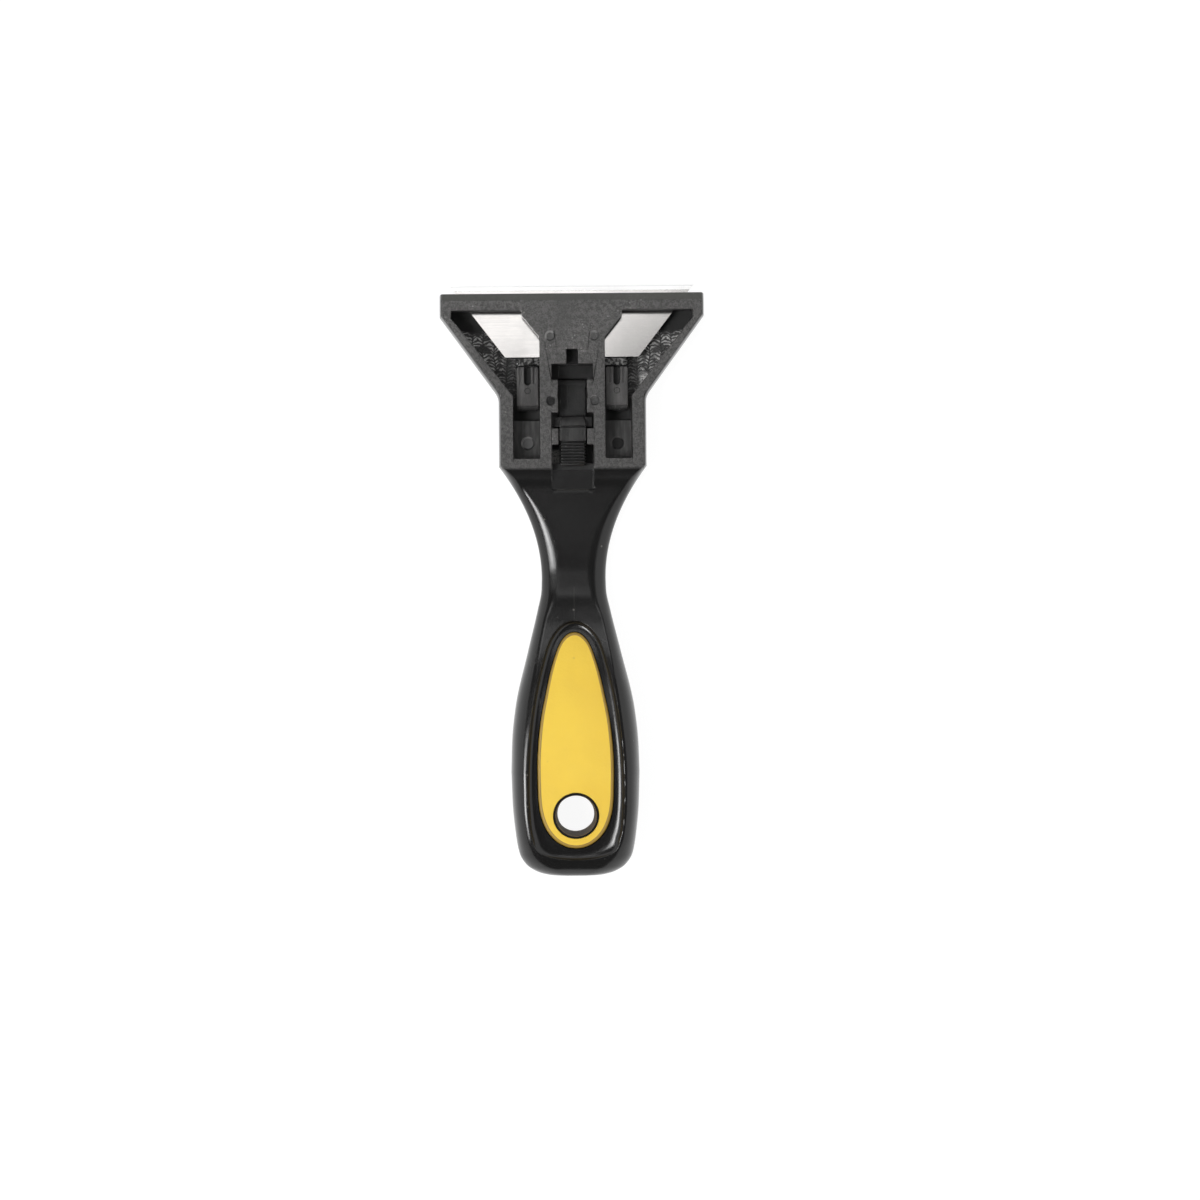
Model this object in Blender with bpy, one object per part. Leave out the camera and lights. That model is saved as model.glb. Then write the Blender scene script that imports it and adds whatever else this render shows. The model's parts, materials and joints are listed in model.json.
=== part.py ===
"""Hand scraper with a retracting trapezoid blade, lying on its flat front side.

Metres, +Z up. X runs across the tool, Y along it towards the blade, and the back side, with the
blade carriage open to view, faces up. The origin is below the middle of the tool's length.
"""

import math

import bmesh
import bpy
from mathutils import Matrix, Vector

MM = 0.001

# Lengths along the tool, from the cutting edge to the end of the handle
BLADE_PROUD = 2.35 * MM
NOSE_LENGTH = 5.5 * MM
FLARE_LENGTH = 20.2 * MM
SHANK_LENGTH = 17.6 * MM
NECK_RUN = 28.1 * MM
BELLY_RUN = 48.5 * MM
TAIL_RUN = 26.25 * MM

# Half widths of the body
HEAD_HALF = 33.3 * MM
SHANK_HALF = 18.6 * MM
NECK_HALF = 8.1 * MM
BELLY_HALF = 16.1 * MM
SIDE_DRAFT = 0.8 * MM
FLARE_BEND = 1.4 * MM
NECK_FACET_HALF = 3.9 * MM
RIDGE_HALF = 12.1 * MM

# Heights of the body
HEAD_THICKNESS = 10.2 * MM
NECK_THICKNESS = 7.0 * MM
HANDLE_THICKNESS = 16.0 * MM
SHOULDER_ROLL = 5.9 * MM
NECK_REST = 20.0 * MM
NOSE_STEP = 1.8 * MM
NOSE_DROP = 1.0 * MM
UNDER_BEVEL = 8.0 * MM
UNDER_RISE = 1.3 * MM

# Shells
SHELL_GAP = 0.3 * MM
SHELL_WALL = 2.2 * MM
HOLLOW_START = 12.0 * MM
HOLLOW_END_WALL = 7.5 * MM
RIB = 1.2 * MM
RIB_COUNT = 2
PIN_RADIUS = 1.0 * MM
PIN_HEIGHT = 2.2 * MM
PIN_CLEARANCE = 0.2 * MM
PIN_BOSS_WALL = 1.2 * MM
HANDLE_PIN_STEP = 5.0 * MM
SHANK_PIN_UP = 8.0 * MM
RUN = 0.3 * MM
OVERRUN = 2.0 * MM

# Blade chamber and the openings in the back shell
FLOOR = 2.6 * MM
TOP_BAR = 4.3 * MM
RIM_SIDE = 3.0 * MM
WINDOW_CORNER = 1.8 * MM
SHANK_RIM = 3.85 * MM
WINDOW_BEND = 0.3 * MM
END_WALL = 1.8 * MM
CHAMBER_END_WALL = 0.8 * MM
BRIDGE_HALF = 8.2 * MM
BRIDGE_TOP_HALF = 12.6 * MM
BRIDGE_LAND = 1.3 * MM
BRIDGE_TAPER = 5.5 * MM
BRIDGE_THICKNESS = 2.9 * MM
NOSE_LIP = 1.0 * MM
CHANNEL_STEP = 2.0 * MM
CHANNEL_STEP_LENGTH = 9.95 * MM
WELL_STEP_LENGTH = 5.0 * MM
EJECTOR_RADIUS = 1.1 * MM
EJECTOR_DEPTH = 0.2 * MM
EJECTOR_X = 5.5 * MM
EJECTOR_BELOW_BAR = 6.5 * MM
EJECTOR_ABOVE_NOTCH = 2.75 * MM

# Blade
BLADE_EDGE_HALF = 30.7 * MM
BLADE_BACK_HALF = 16.85 * MM
BLADE_WIDTH = 18.0 * MM
BLADE_THICKNESS = 0.6 * MM
GRIND = 1.2 * MM
EDGE_FLAT = 0.06 * MM
BLADE_HOLE_RADIUS = 2.5 * MM
BLADE_HOLE_BACK = 5.8 * MM

# Carriage
PLATE_THICKNESS = 2.0 * MM
PLATE_INSET = 1.3 * MM
PLATE_SETBACK = 3.65 * MM
PLATE_TAIL = 5.3 * MM
LIP_LENGTH = 1.8 * MM
LIP_HEIGHT = 1.0 * MM
GROOVE = 0.5 * MM
FOOT_LENGTH = 11.0 * MM
FOOT_HALF_WIDTH = 2.75 * MM
FOOT_HEIGHT = 2.1 * MM
FOOT_CHAMFER = 0.4 * MM
FOOT_SLOT_HALF = 0.85 * MM
FOOT_SLOT_LENGTH = 5.5 * MM
FOOT_SLOT_DEPTH = 1.2 * MM
STUD_HEAD = 0.2 * MM

# Latch finger
PIVOT_BEHIND_LIP = 4.65 * MM
PIVOT_ABOVE_PLATE = 0.1 * MM
KNUCKLE_RADIUS = 1.1 * MM
FINGER_HALF = 3.3 * MM
ARM_THICKNESS = 1.1 * MM
LUG_REACH = 9.6 * MM
LUG_LENGTH = 2.8 * MM
LUG_SIDE = 1.6 * MM
LEG_BEHIND_LUG = 0.3 * MM
RAMP_RISE = 1.8 * MM
BLOCK_LENGTH = 3.4 * MM
BLOCK_RISE = 2.8 * MM
PAD_LENGTH = 6.3 * MM
PAD_DROP = 0.35 * MM
PAD_TOOTH = 0.35 * MM
PAD_TEETH = 6
RETRACT_TRAVEL = 8.0 * MM
CHANGE_TRAVEL = 12.2 * MM
NOTCH_CLEARANCE = 0.6 * MM
KEYHOLE_HALF = 1.45 * MM
KEYHOLE_LENGTH = 3.75 * MM

# Grip inlays and the hanging hole
INLAY_START = 13.6 * MM
INLAY_END_MARGIN = 7.35 * MM
INLAY_HALF = 9.45 * MM
INLAY_THICKNESS = 1.7 * MM
INLAY_EDGE = 0.5 * MM
SCOOP_DEPTH = 1.5 * MM
SCOOP_MARGIN = 2.8 * MM
EYE_FROM_INLAY_END = 8.2 * MM
HOLE_RADIUS = 5.1 * MM
EYE_WALL = 0.5 * MM
EYE_SLEEVE = 1.6 * MM

# Shares of the runs and sizes that they follow
NECK_FALL_POWER = 2.0
FACET_FALL_POWER = 2.2
BELLY_SWELL_SHARES = ((0, 0), (0.062, 0.012), (0.166, 0.137), (0.369, 0.435), (0.67, 0.857), (0.85, 0.972), (1, 1))
TAIL_WIDTH_SHARES = ((0, 1), (0.305, 0.984), (0.61, 0.935), (0.785, 0.88), (0.891, 0.775), (0.96, 0.6), (1, 0.36))
FACET_SWELL_SHARES = ((0, 0), (0.082, 0.07), (0.2165, 0.38), (0.4, 0.6), (0.67, 0.815), (0.946, 0.988), (1, 1))
TAIL_FACET_SHARES = ((0, 1), (0.305, 0.995), (0.61, 0.92), (0.785, 0.72), (0.891, 0.5), (0.96, 0.3), (1, 0.12))
ROLL_SHARES = ((0, 1), (0.12, 0.96), (0.35, 0.68), (0.65, 0.25), (0.85, 0.06), (1, 0))
HANDLE_RISE_SHARES = ((0, 0), (0.12, 0.05), (0.25, 0.22), (0.45, 0.6), (0.6, 0.8), (0.8, 0.95), (1, 1))
TAIL_THICKNESS_SHARES = ((0, 1), (0.4, 0.985), (0.61, 0.95), (0.8, 0.85), (0.9, 0.72), (0.96, 0.55), (1, 0.3))
INLAY_FULL_SHARES = (
    (-1, 1.49), (-0.87, 1.42), (-0.7, 1.295), (-0.4, 1.095), (-0.1, 1), (0.22, 0.92), (0.49, 0.85), (0.75, 0.83), (1, 0.92)
)
SCOOP_FULL_SHARES = (
    (-1, 2.6), (-0.963, 2.3), (-0.808, 1.53), (-0.54, 1.165), (-0.18, 0.99), (0.27, 0.895), (0.6, 0.87), (1, 1)
)

# Facets of round shapes
ARC_STEPS = 6
ROUND_STEPS = 28
EGG_STEPS = 40
RUN_STEPS = 9
TAIL_STEPS = 8

# Places along the tool
TOTAL = BLADE_PROUD + NOSE_LENGTH + FLARE_LENGTH + SHANK_LENGTH + NECK_RUN + BELLY_RUN + TAIL_RUN
EDGE_Y = TOTAL / 2
NOSE_Y = EDGE_Y - BLADE_PROUD
FLARE_Y = NOSE_Y - NOSE_LENGTH
BEND_Y = FLARE_Y - FLARE_LENGTH
SHOULDER_Y = BEND_Y - SHANK_LENGTH
NECK_Y = SHOULDER_Y - NECK_RUN
BELLY_Y = NECK_Y - BELLY_RUN
END_Y = BELLY_Y - TAIL_RUN
ROLL_Y = SHOULDER_Y - SHOULDER_ROLL
RISE_Y = ROLL_Y - NECK_REST
BACK_Y = EDGE_Y - BLADE_WIDTH
BLADE_SLOPE = (BLADE_EDGE_HALF - BLADE_BACK_HALF) / BLADE_WIDTH
WINDOW_TOP_Y = NOSE_Y - TOP_BAR
WINDOW_END_Y = SHOULDER_Y + END_WALL
CHAMBER_END_Y = SHOULDER_Y + CHAMBER_END_WALL
LIP_Y = BACK_Y - RUN - LIP_LENGTH
FOOT_FRONT_Y = LIP_Y - GROOVE
FOOT_END_Y = FOOT_FRONT_Y - FOOT_LENGTH
PLATE_END_Y = LIP_Y - PLATE_TAIL
PIVOT_Y = LIP_Y - PIVOT_BEHIND_LIP
LUG_Y = PIVOT_Y - LUG_REACH
LUG_END_Y = LUG_Y - LUG_LENGTH / 2
BLOCK_Y = LUG_END_Y - LEG_BEHIND_LUG
PAD_Y = BLOCK_Y - BLOCK_LENGTH
PAD_END_Y = PAD_Y - PAD_LENGTH
STUD_Y = BACK_Y + BLADE_HOLE_BACK
INLAY_TOP_Y = NECK_Y - INLAY_START
INLAY_END_Y = END_Y + INLAY_END_MARGIN
INLAY_MID_Y = (INLAY_TOP_Y + INLAY_END_Y) / 2
INLAY_LENGTH = INLAY_TOP_Y - INLAY_END_Y
HOLE_Y = INLAY_END_Y + EYE_FROM_INLAY_END
HOLLOW_Y = INLAY_TOP_Y - HOLLOW_START
HOLLOW_END_Y = END_Y + HOLLOW_END_WALL

# Heights in the head, from the floor up
PLATE_Z = FLOOR + RUN
BLADE_Z = PLATE_Z + PLATE_THICKNESS + RUN
BLADE_TOP_Z = BLADE_Z + BLADE_THICKNESS
BRIDGE_Z = HEAD_THICKNESS - BRIDGE_THICKNESS
MOUTH_TOP_Z = BRIDGE_Z - NOSE_LIP
FOOT_TOP_Z = PLATE_Z + PLATE_THICKNESS + FOOT_HEIGHT
CHANNEL_Z = FLOOR + CHANNEL_STEP
WELL_Z = CHANNEL_Z - RUN
PIVOT_Z = PLATE_Z + PLATE_THICKNESS + PIVOT_ABOVE_PLATE
ARM_Z = PIVOT_Z - RUN
LUG_TOP_Z = BRIDGE_Z - RUN
PAD_FLOOR_Z = NECK_THICKNESS
BLOCK_UNDER_Z = PAD_FLOOR_Z + RUN + RUN / 2
CHANNEL_HALF = FINGER_HALF + RUN
NOTCH_HALF = FINGER_HALF + LUG_SIDE + RUN
CHANNEL_OUTER = SHANK_HALF - SHANK_RIM
EYE_RADIUS = HOLE_RADIUS + EYE_WALL


def smooth(table, share):
    """Reads a table of (place, value) rows with a monotone cubic curve through them."""
    if share <= table[0][0]:
        return table[0][1]
    if share >= table[-1][0]:
        return table[-1][1]
    steps = [(b[1] - a[1]) / (b[0] - a[0]) for a, b in zip(table, table[1:])]
    inner = [0 if p * q <= 0 else 2 * p * q / (p + q) for p, q in zip(steps, steps[1:])]
    slopes = [steps[0], *inner, steps[-1]]
    row = max(i for i, point in enumerate(table[:-1]) if point[0] <= share)
    (x0, v0), (x1, v1) = table[row], table[row + 1]
    width = x1 - x0
    t = (share - x0) / width
    rise = (3 - 2 * t) * t * t
    first, last = t * (1 - t) ** 2, t * t * (t - 1)
    return v0 + (v1 - v0) * rise + width * (slopes[row] * first + slopes[row + 1] * last)


def between(low, high, share):
    return low + (high - low) * share


def bent_width(y):
    """Half width of the head: straight nose, flare and shank with soft bends between them."""
    slope = (HEAD_HALF - SHANK_HALF) / FLARE_LENGTH
    if y >= FLARE_Y:
        return HEAD_HALF
    if y > BEND_Y + FLARE_BEND:
        return SHANK_HALF + slope * (y - BEND_Y)
    if y > BEND_Y - FLARE_BEND:
        return SHANK_HALF + slope * (y - BEND_Y + FLARE_BEND) ** 2 / (4 * FLARE_BEND)
    return SHANK_HALF


def half_width(y):
    if y >= SHOULDER_Y:
        return bent_width(y)
    if y >= NECK_Y:
        fall = (1 - (SHOULDER_Y - y) / NECK_RUN) ** NECK_FALL_POWER
        return between(NECK_HALF, SHANK_HALF, fall)
    if y >= BELLY_Y:
        return between(NECK_HALF, BELLY_HALF, smooth(BELLY_SWELL_SHARES, (NECK_Y - y) / BELLY_RUN))
    return BELLY_HALF * smooth(TAIL_WIDTH_SHARES, (BELLY_Y - y) / TAIL_RUN)


def facet_half(y):
    """Half width of the flat along the middle of the back and front sides."""
    if y >= SHOULDER_Y:
        return bent_width(y) - SIDE_DRAFT
    if y >= NECK_Y:
        fall = (1 - (SHOULDER_Y - y) / NECK_RUN) ** FACET_FALL_POWER
        return between(NECK_FACET_HALF, SHANK_HALF - SIDE_DRAFT, fall)
    if y >= BELLY_Y:
        return between(NECK_FACET_HALF, RIDGE_HALF, smooth(FACET_SWELL_SHARES, (NECK_Y - y) / BELLY_RUN))
    return RIDGE_HALF * smooth(TAIL_FACET_SHARES, (BELLY_Y - y) / TAIL_RUN)


def thickness(y):
    """Thickness of the body before the nose bevels."""
    if y >= SHOULDER_Y:
        return HEAD_THICKNESS
    if y >= ROLL_Y:
        return between(NECK_THICKNESS, HEAD_THICKNESS, smooth(ROLL_SHARES, (SHOULDER_Y - y) / SHOULDER_ROLL))
    if y >= RISE_Y:
        return NECK_THICKNESS
    rise = smooth(HANDLE_RISE_SHARES, (RISE_Y - y) / (RISE_Y - BELLY_Y))
    return between(NECK_THICKNESS, HANDLE_THICKNESS, rise)


def middle_z(y):
    return thickness(y) / 2


def side_z(y, side):
    """Height of the back (side 1) or the front (side -1) along the middle of the tool."""
    half = thickness(y) / 2
    if y < BELLY_Y:
        half *= smooth(TAIL_THICKNESS_SHARES, (BELLY_Y - y) / TAIL_RUN)
    trim = 0
    if side > 0 and y > NOSE_Y - NOSE_STEP:
        trim = NOSE_DROP * (y - NOSE_Y + NOSE_STEP) / NOSE_STEP
    if side < 0 and y > NOSE_Y - UNDER_BEVEL:
        trim = UNDER_RISE * (y - NOSE_Y + UNDER_BEVEL) / UNDER_BEVEL
    return middle_z(y) + side * (half - trim)


def spread(start, end, steps):
    return [between(start, end, i / steps) for i in range(steps + 1)]


def stations():
    """Places along Y of the body's cross sections, from the nose to the end of the handle."""
    head = [NOSE_Y, NOSE_Y - NOSE_STEP, FLARE_Y, NOSE_Y - UNDER_BEVEL]
    head += [BEND_Y + FLARE_BEND, BEND_Y, BEND_Y - FLARE_BEND]
    roll = spread(SHOULDER_Y, ROLL_Y, 5)
    neck = spread(ROLL_Y, NECK_Y, RUN_STEPS)
    belly = spread(NECK_Y, BELLY_Y, 2 * RUN_STEPS)
    quarter = math.pi / 2
    tail = [BELLY_Y - TAIL_RUN * math.sin(quarter * i / TAIL_STEPS) for i in range(TAIL_STEPS + 1)]
    return head + roll + neck[1:] + belly[1:] + tail[1:]


def section(y):
    """Ring of points round the body: flats on the back and front, elliptic quarters between."""
    outer, flat, middle = half_width(y), facet_half(y), middle_z(y)
    ring = []
    for side, turn in ((1, 1), (1, -1), (-1, -1), (-1, 1)):
        quarter = []
        for i in range(ARC_STEPS + 1):
            angle = math.pi / 2 * i / ARC_STEPS
            x = flat + (outer - flat) * math.cos(angle)
            z = middle + (side_z(y, side) - middle) * math.sin(angle)
            quarter.append(Vector((turn * x, y, z)))
        ring.append(quarter)
    upper = ring[0] + ring[1][::-1]
    lower = ring[2][1:] + ring[3][::-1][:-1]
    return upper + lower


def add_ring(bm, points):
    return [bm.verts.new(p) for p in points]


def loft(rings, cap=None):
    """Closed solid through rings that all hold the same number of points."""
    bm = bmesh.new()
    loops = [add_ring(bm, ring) for ring in rings]
    for first, last in zip(loops, loops[1:]):
        for i in range(len(first)):
            j = (i + 1) % len(first)
            bm.faces.new((first[i], first[j], last[j], last[i]))
    for loop in (loops[0], loops[-1]):
        (cap or flat_cap)(bm, loop)
    bmesh.ops.recalc_face_normals(bm, faces=bm.faces)
    return bm


def flat_cap(bm, loop):
    bm.faces.new(loop)


def ladder_cap(bm, loop):
    """Fills a curved ring that is its own mirror image in X with rungs from side to side."""
    count = len(loop)
    for i in range(count // 2):
        rung = [loop[i], loop[i + 1], loop[(count - i - 1) % count], loop[(count - i) % count]]
        bm.faces.new(list(dict.fromkeys(rung)))


def prism(outline, low, high):
    """Solid with an (x, y) outline from one height to another."""
    return loft([[Vector((x, y, z)) for x, y in outline] for z in (low, high)])


def side_prism(profile, left, right):
    """Solid with a (y, z) profile from one x to another."""
    return loft([[Vector((x, y, z)) for y, z in profile] for x in (left, right)])


def block(x0, x1, y0, y1, z0, z1):
    return prism([(x0, y0), (x1, y0), (x1, y1), (x0, y1)], z0, z1)


def post(x, y, radius, low, high, steps=ROUND_STEPS):
    turn = 2 * math.pi / steps
    outline = [(x + radius * math.cos(turn * i), y + radius * math.sin(turn * i)) for i in range(steps)]
    return prism(outline, low, high)


def mirrored(outline):
    """Closes an outline of the +X half, listed from one end to the other, with its mirror image."""
    return outline + [(-x, y) for x, y in outline[::-1] if x > 0]


def drop(bm, name, origin=(0, 0, 0)):
    """Turns a bmesh in world places into an object whose origin is the given point."""
    bmesh.ops.translate(bm, vec=-Vector(origin), verts=bm.verts)
    mesh = bpy.data.meshes.new(name)
    bm.to_mesh(mesh)
    bm.free()
    thing = bpy.data.objects.new(name, mesh)
    thing.location = origin
    bpy.context.scene.collection.objects.link(thing)
    return thing


def tool(bm, name):
    """A cutter or a shape to be joined, which is itself left out."""
    thing = drop(bm, name)
    thing.hide_render = True
    thing.display_type = "WIRE"
    return thing


def combine(thing, other, operation):
    step = thing.modifiers.new(other.name, "BOOLEAN")
    step.operation = operation
    step.solver = "EXACT"
    step.object = other


def shade(thing, degrees=32):
    thing.data.shade_smooth()
    thing.data.set_sharp_from_angle(angle=math.radians(degrees))


def paint(thing, name, colour, roughness, metallic=0.0):
    material = bpy.data.materials.new(name)
    material.use_nodes = True
    shader = material.node_tree.nodes["Principled BSDF"]
    shader.inputs["Base Color"].default_value = (*colour, 1)
    shader.inputs["Roughness"].default_value = roughness
    shader.inputs["Metallic"].default_value = metallic
    material.diffuse_color = (*colour, 1)
    thing.data.materials.append(material)


def window_outline():
    """The opening on the +X side of the bridge, from its lower inner corner round."""
    return [
        (BRIDGE_HALF, WINDOW_END_Y),
        (CHANNEL_OUTER, WINDOW_END_Y),
        (CHANNEL_OUTER, BEND_Y - WINDOW_BEND),
        (HEAD_HALF - RIM_SIDE, WINDOW_TOP_Y - WINDOW_CORNER),
        (HEAD_HALF - RIM_SIDE, WINDOW_TOP_Y),
        (BRIDGE_TOP_HALF, WINDOW_TOP_Y),
        (BRIDGE_TOP_HALF, WINDOW_TOP_Y - BRIDGE_LAND),
        (BRIDGE_HALF, WINDOW_TOP_Y - BRIDGE_LAND - BRIDGE_TAPER),
    ]


def slot_outline():
    """The latch channel: three pairs of notches at the blade's three stations, and a keyhole end."""
    half_notch = LUG_LENGTH / 2 + NOTCH_CLEARANCE
    rest_low, rest_high = LUG_Y - half_notch, LUG_Y + half_notch
    top_low, top_high = rest_low + CHANGE_TRAVEL, rest_high + CHANGE_TRAVEL
    retracted_high = rest_high - RETRACT_TRAVEL
    return mirrored([
        (NOTCH_HALF, ROLL_Y),
        (NOTCH_HALF, retracted_high),
        (CHANNEL_HALF, retracted_high),
        (CHANNEL_HALF, rest_low),
        (NOTCH_HALF, rest_low),
        (NOTCH_HALF, rest_high),
        (CHANNEL_HALF, rest_high),
        (CHANNEL_HALF, top_low),
        (NOTCH_HALF, top_low),
        (NOTCH_HALF, top_high),
        (KEYHOLE_HALF, top_high),
        (KEYHOLE_HALF, top_high + KEYHOLE_LENGTH),
    ])


def chamber_outline(end_y, outer):
    """The blade chamber below the bridge, wide enough for the drawn-back blade."""
    mouth_half = BLADE_EDGE_HALF + RUN
    return mirrored([
        (outer, end_y),
        (outer, BEND_Y - WINDOW_BEND - 2 * RUN),
        (mouth_half, WINDOW_TOP_Y - WINDOW_CORNER),
        (mouth_half, WINDOW_TOP_Y + RUN),
    ])


def mouth_outline():
    mouth_half = BLADE_EDGE_HALF + RUN
    return mirrored([(mouth_half, WINDOW_TOP_Y), (mouth_half, NOSE_Y + OVERRUN)])


def chamber_tools():
    """Everything that is open in the head."""
    step_y = WINDOW_END_Y + CHANNEL_STEP_LENGTH
    well_y = CHAMBER_END_Y + WELL_STEP_LENGTH
    outer = CHANNEL_OUTER + RUN
    over = HEAD_THICKNESS + OVERRUN
    window = window_outline()
    made = [
        tool(prism(chamber_outline(step_y, outer), FLOOR, BRIDGE_Z), "chamber"),
        tool(block(-BRIDGE_HALF, BRIDGE_HALF, well_y, step_y + RUN, FLOOR, BRIDGE_Z), "finger_well"),
        tool(block(-BRIDGE_HALF, BRIDGE_HALF, CHAMBER_END_Y, well_y + RUN, WELL_Z, BRIDGE_Z), "finger_step"),
        tool(block(-outer, outer, WINDOW_END_Y - RUN, step_y + RUN, CHANNEL_Z, BRIDGE_Z), "foot_channels"),
        tool(prism(mouth_outline(), FLOOR, MOUTH_TOP_Z), "mouth"),
        tool(prism(window, BRIDGE_Z - RUN, over), "window_right"),
        tool(prism([(-x, y) for x, y in window], BRIDGE_Z - RUN, over), "window_left"),
        tool(prism(slot_outline(), PAD_FLOOR_Z, over), "latch_slot"),
    ]
    notch_top = LUG_Y + LUG_LENGTH / 2 + NOTCH_CLEARANCE
    for side in (1, -1):
        for row, y in enumerate((WINDOW_TOP_Y - EJECTOR_BELOW_BAR, notch_top + EJECTOR_ABOVE_NOTCH)):
            pin = post(side * EJECTOR_X, y, EJECTOR_RADIUS, HEAD_THICKNESS - EJECTOR_DEPTH, over, ROUND_STEPS // 2)
            made.append(tool(pin, f"ejector_{row}_{side}"))
    return made


def egg(shares, length, half, margin=0.0):
    """Outline of the inlay or its scoop: a round-ended drop, wide towards the handle's end."""
    points = []
    for i in range(EGG_STEPS):
        angle = 2 * math.pi * i / EGG_STEPS
        across = (half + margin) * math.sin(angle) * smooth(shares, math.cos(angle))
        points.append((across, INLAY_MID_Y + (length / 2 + margin) * math.cos(angle)))
    return points


def raised(outline, side, lift):
    return [Vector((x, y, side_z(y, side) + side * lift)) for x, y in outline]


def recess_tool(side, name):
    """Scoop and pocket for one inlay, with the eye's rim left standing in it."""
    pocket = egg(INLAY_FULL_SHARES, INLAY_LENGTH, INLAY_HALF, RUN)
    scoop = egg(SCOOP_FULL_SHARES, INLAY_LENGTH, INLAY_HALF, SCOOP_MARGIN)
    floor = -SCOOP_DEPTH - INLAY_THICKNESS - RUN
    rings = [
        raised(pocket, side, floor),
        raised(pocket, side, -SCOOP_DEPTH),
        raised(scoop, side, 0),
        [Vector((x, y, side_z(BELLY_Y, side) + side * OVERRUN)) for x, y in scoop],
    ]
    cutter = tool(loft(rings, ladder_cap), name)
    surface = side_z(HOLE_Y, side)
    rim_z, deep_z = surface - side * (SCOOP_DEPTH - RUN), surface + side * (floor - OVERRUN)
    rim = tool(post(0, HOLE_Y, EYE_RADIUS, min(rim_z, deep_z), max(rim_z, deep_z)), name + "_eye")
    combine(cutter, rim, "DIFFERENCE")
    return cutter


def handle_pin_places():
    """Two pins in the handle, one behind each end rib of its hollow."""
    return [(0, HOLLOW_Y - HANDLE_PIN_STEP), (0, HOLE_Y + EYE_RADIUS + EYE_SLEEVE + HANDLE_PIN_STEP)]


def shank_pin_places():
    rim_middle = SHANK_HALF - SHANK_RIM / 2
    return [(side * rim_middle, SHOULDER_Y + SHANK_PIN_UP) for side in (1, -1)]


def hollow_tool():
    """Hollow of the handle between the two recess floors: ribs, pin bosses and the eye's sleeve stay."""
    depth = SCOOP_DEPTH + INLAY_THICKNESS + RUN + SHELL_WALL / 2
    rings = []
    for y in spread(HOLLOW_Y, HOLLOW_END_Y, RUN_STEPS):
        outer = half_width(y) - SHELL_WALL
        low, high = side_z(y, -1) + depth, side_z(y, 1) - depth
        rings.append([Vector(p) for p in ((outer, y, low), (outer, y, high), (-outer, y, high), (-outer, y, low))])
    hollow = tool(loft(rings), "handle_hollow")
    low, high = -OVERRUN, HANDLE_THICKNESS + OVERRUN
    kept = [post(0, HOLE_Y, EYE_RADIUS + EYE_SLEEVE, low, high)]
    kept += [post(x, y, PIN_RADIUS + PIN_BOSS_WALL, low, high, ROUND_STEPS // 2) for x, y in handle_pin_places()]
    first_y, last_y = handle_pin_places()[0][1], handle_pin_places()[1][1]
    for y in spread(first_y, last_y, RIB_COUNT + 1)[1:-1]:
        kept.append(block(-BELLY_HALF, BELLY_HALF, y - RIB / 2, y + RIB / 2, low, high))
    for number, shape in enumerate(kept):
        combine(hollow, tool(shape, f"hollow_keep_{number}"), "DIFFERENCE")
    return hollow


def fit_pins(back, front):
    """Pins on the front shell that stand in sockets of the back shell."""
    for number, (x, y) in enumerate(handle_pin_places() + shank_pin_places()):
        seam = middle_z(y)
        pin = post(x, y, PIN_RADIUS, seam - PIN_HEIGHT / 2, seam + PIN_HEIGHT, ROUND_STEPS // 2)
        combine(front, tool(pin, f"pin_{number}"), "UNION")
        socket = post(x, y, PIN_RADIUS + PIN_CLEARANCE, seam - RUN, seam + PIN_HEIGHT + RUN, ROUND_STEPS // 2)
        combine(back, tool(socket, f"socket_{number}"), "DIFFERENCE")


def parting_tool(side, name):
    """All the space on one side of the parting line, which runs along the widest places."""
    wide = HEAD_HALF + OVERRUN
    far = HANDLE_THICKNESS / 2 + side * (HANDLE_THICKNESS / 2 + OVERRUN)
    line = [(y, middle_z(y) + side * SHELL_GAP / 2) for y in stations()]
    line[0] = (NOSE_Y + OVERRUN, line[0][1])
    line[-1] = (END_Y - OVERRUN, line[-1][1])
    return tool(side_prism(line + [(line[-1][0], far), (line[0][0], far)], -wide, wide), name)


def make_shells():
    rings = [section(y) for y in stations()]
    cuts = chamber_tools() + [recess_tool(1, "recess_back"), recess_tool(-1, "recess_front"), hollow_tool()]
    cuts.append(tool(post(0, HOLE_Y, HOLE_RADIUS, -OVERRUN, HANDLE_THICKNESS + OVERRUN), "eye_hole"))
    shells = []
    for side, name in ((1, "back_shell"), (-1, "front_shell")):
        shell = drop(loft(rings), name)
        for cutter in cuts:
            combine(shell, cutter, "DIFFERENCE")
        combine(shell, parting_tool(side, name + "_side"), "INTERSECT")
        shade(shell)
        paint(shell, name + "_plastic", (0.02, 0.02, 0.02), 0.35)
        shells.append(shell)
    fit_pins(*shells)


def make_inlay(side, name):
    """Soft drop-shaped panel with a rounded border, pierced by the eye."""
    low = egg(INLAY_FULL_SHARES, INLAY_LENGTH, INLAY_HALF)
    high = egg(INLAY_FULL_SHARES, INLAY_LENGTH, INLAY_HALF, -INLAY_EDGE)
    floor = -SCOOP_DEPTH - INLAY_THICKNESS
    rings = [
        raised(low, side, floor),
        raised(low, side, -SCOOP_DEPTH - INLAY_EDGE),
        raised(high, side, -SCOOP_DEPTH),
    ]
    inlay = drop(loft(rings, ladder_cap), name)
    eye = post(0, HOLE_Y, EYE_RADIUS + RUN, -OVERRUN, HANDLE_THICKNESS + OVERRUN)
    combine(inlay, tool(eye, name + "_hole"), "DIFFERENCE")
    shade(inlay)
    paint(inlay, name + "_rubber", (0.87, 0.6, 0.06), 0.45)
    return inlay


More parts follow.
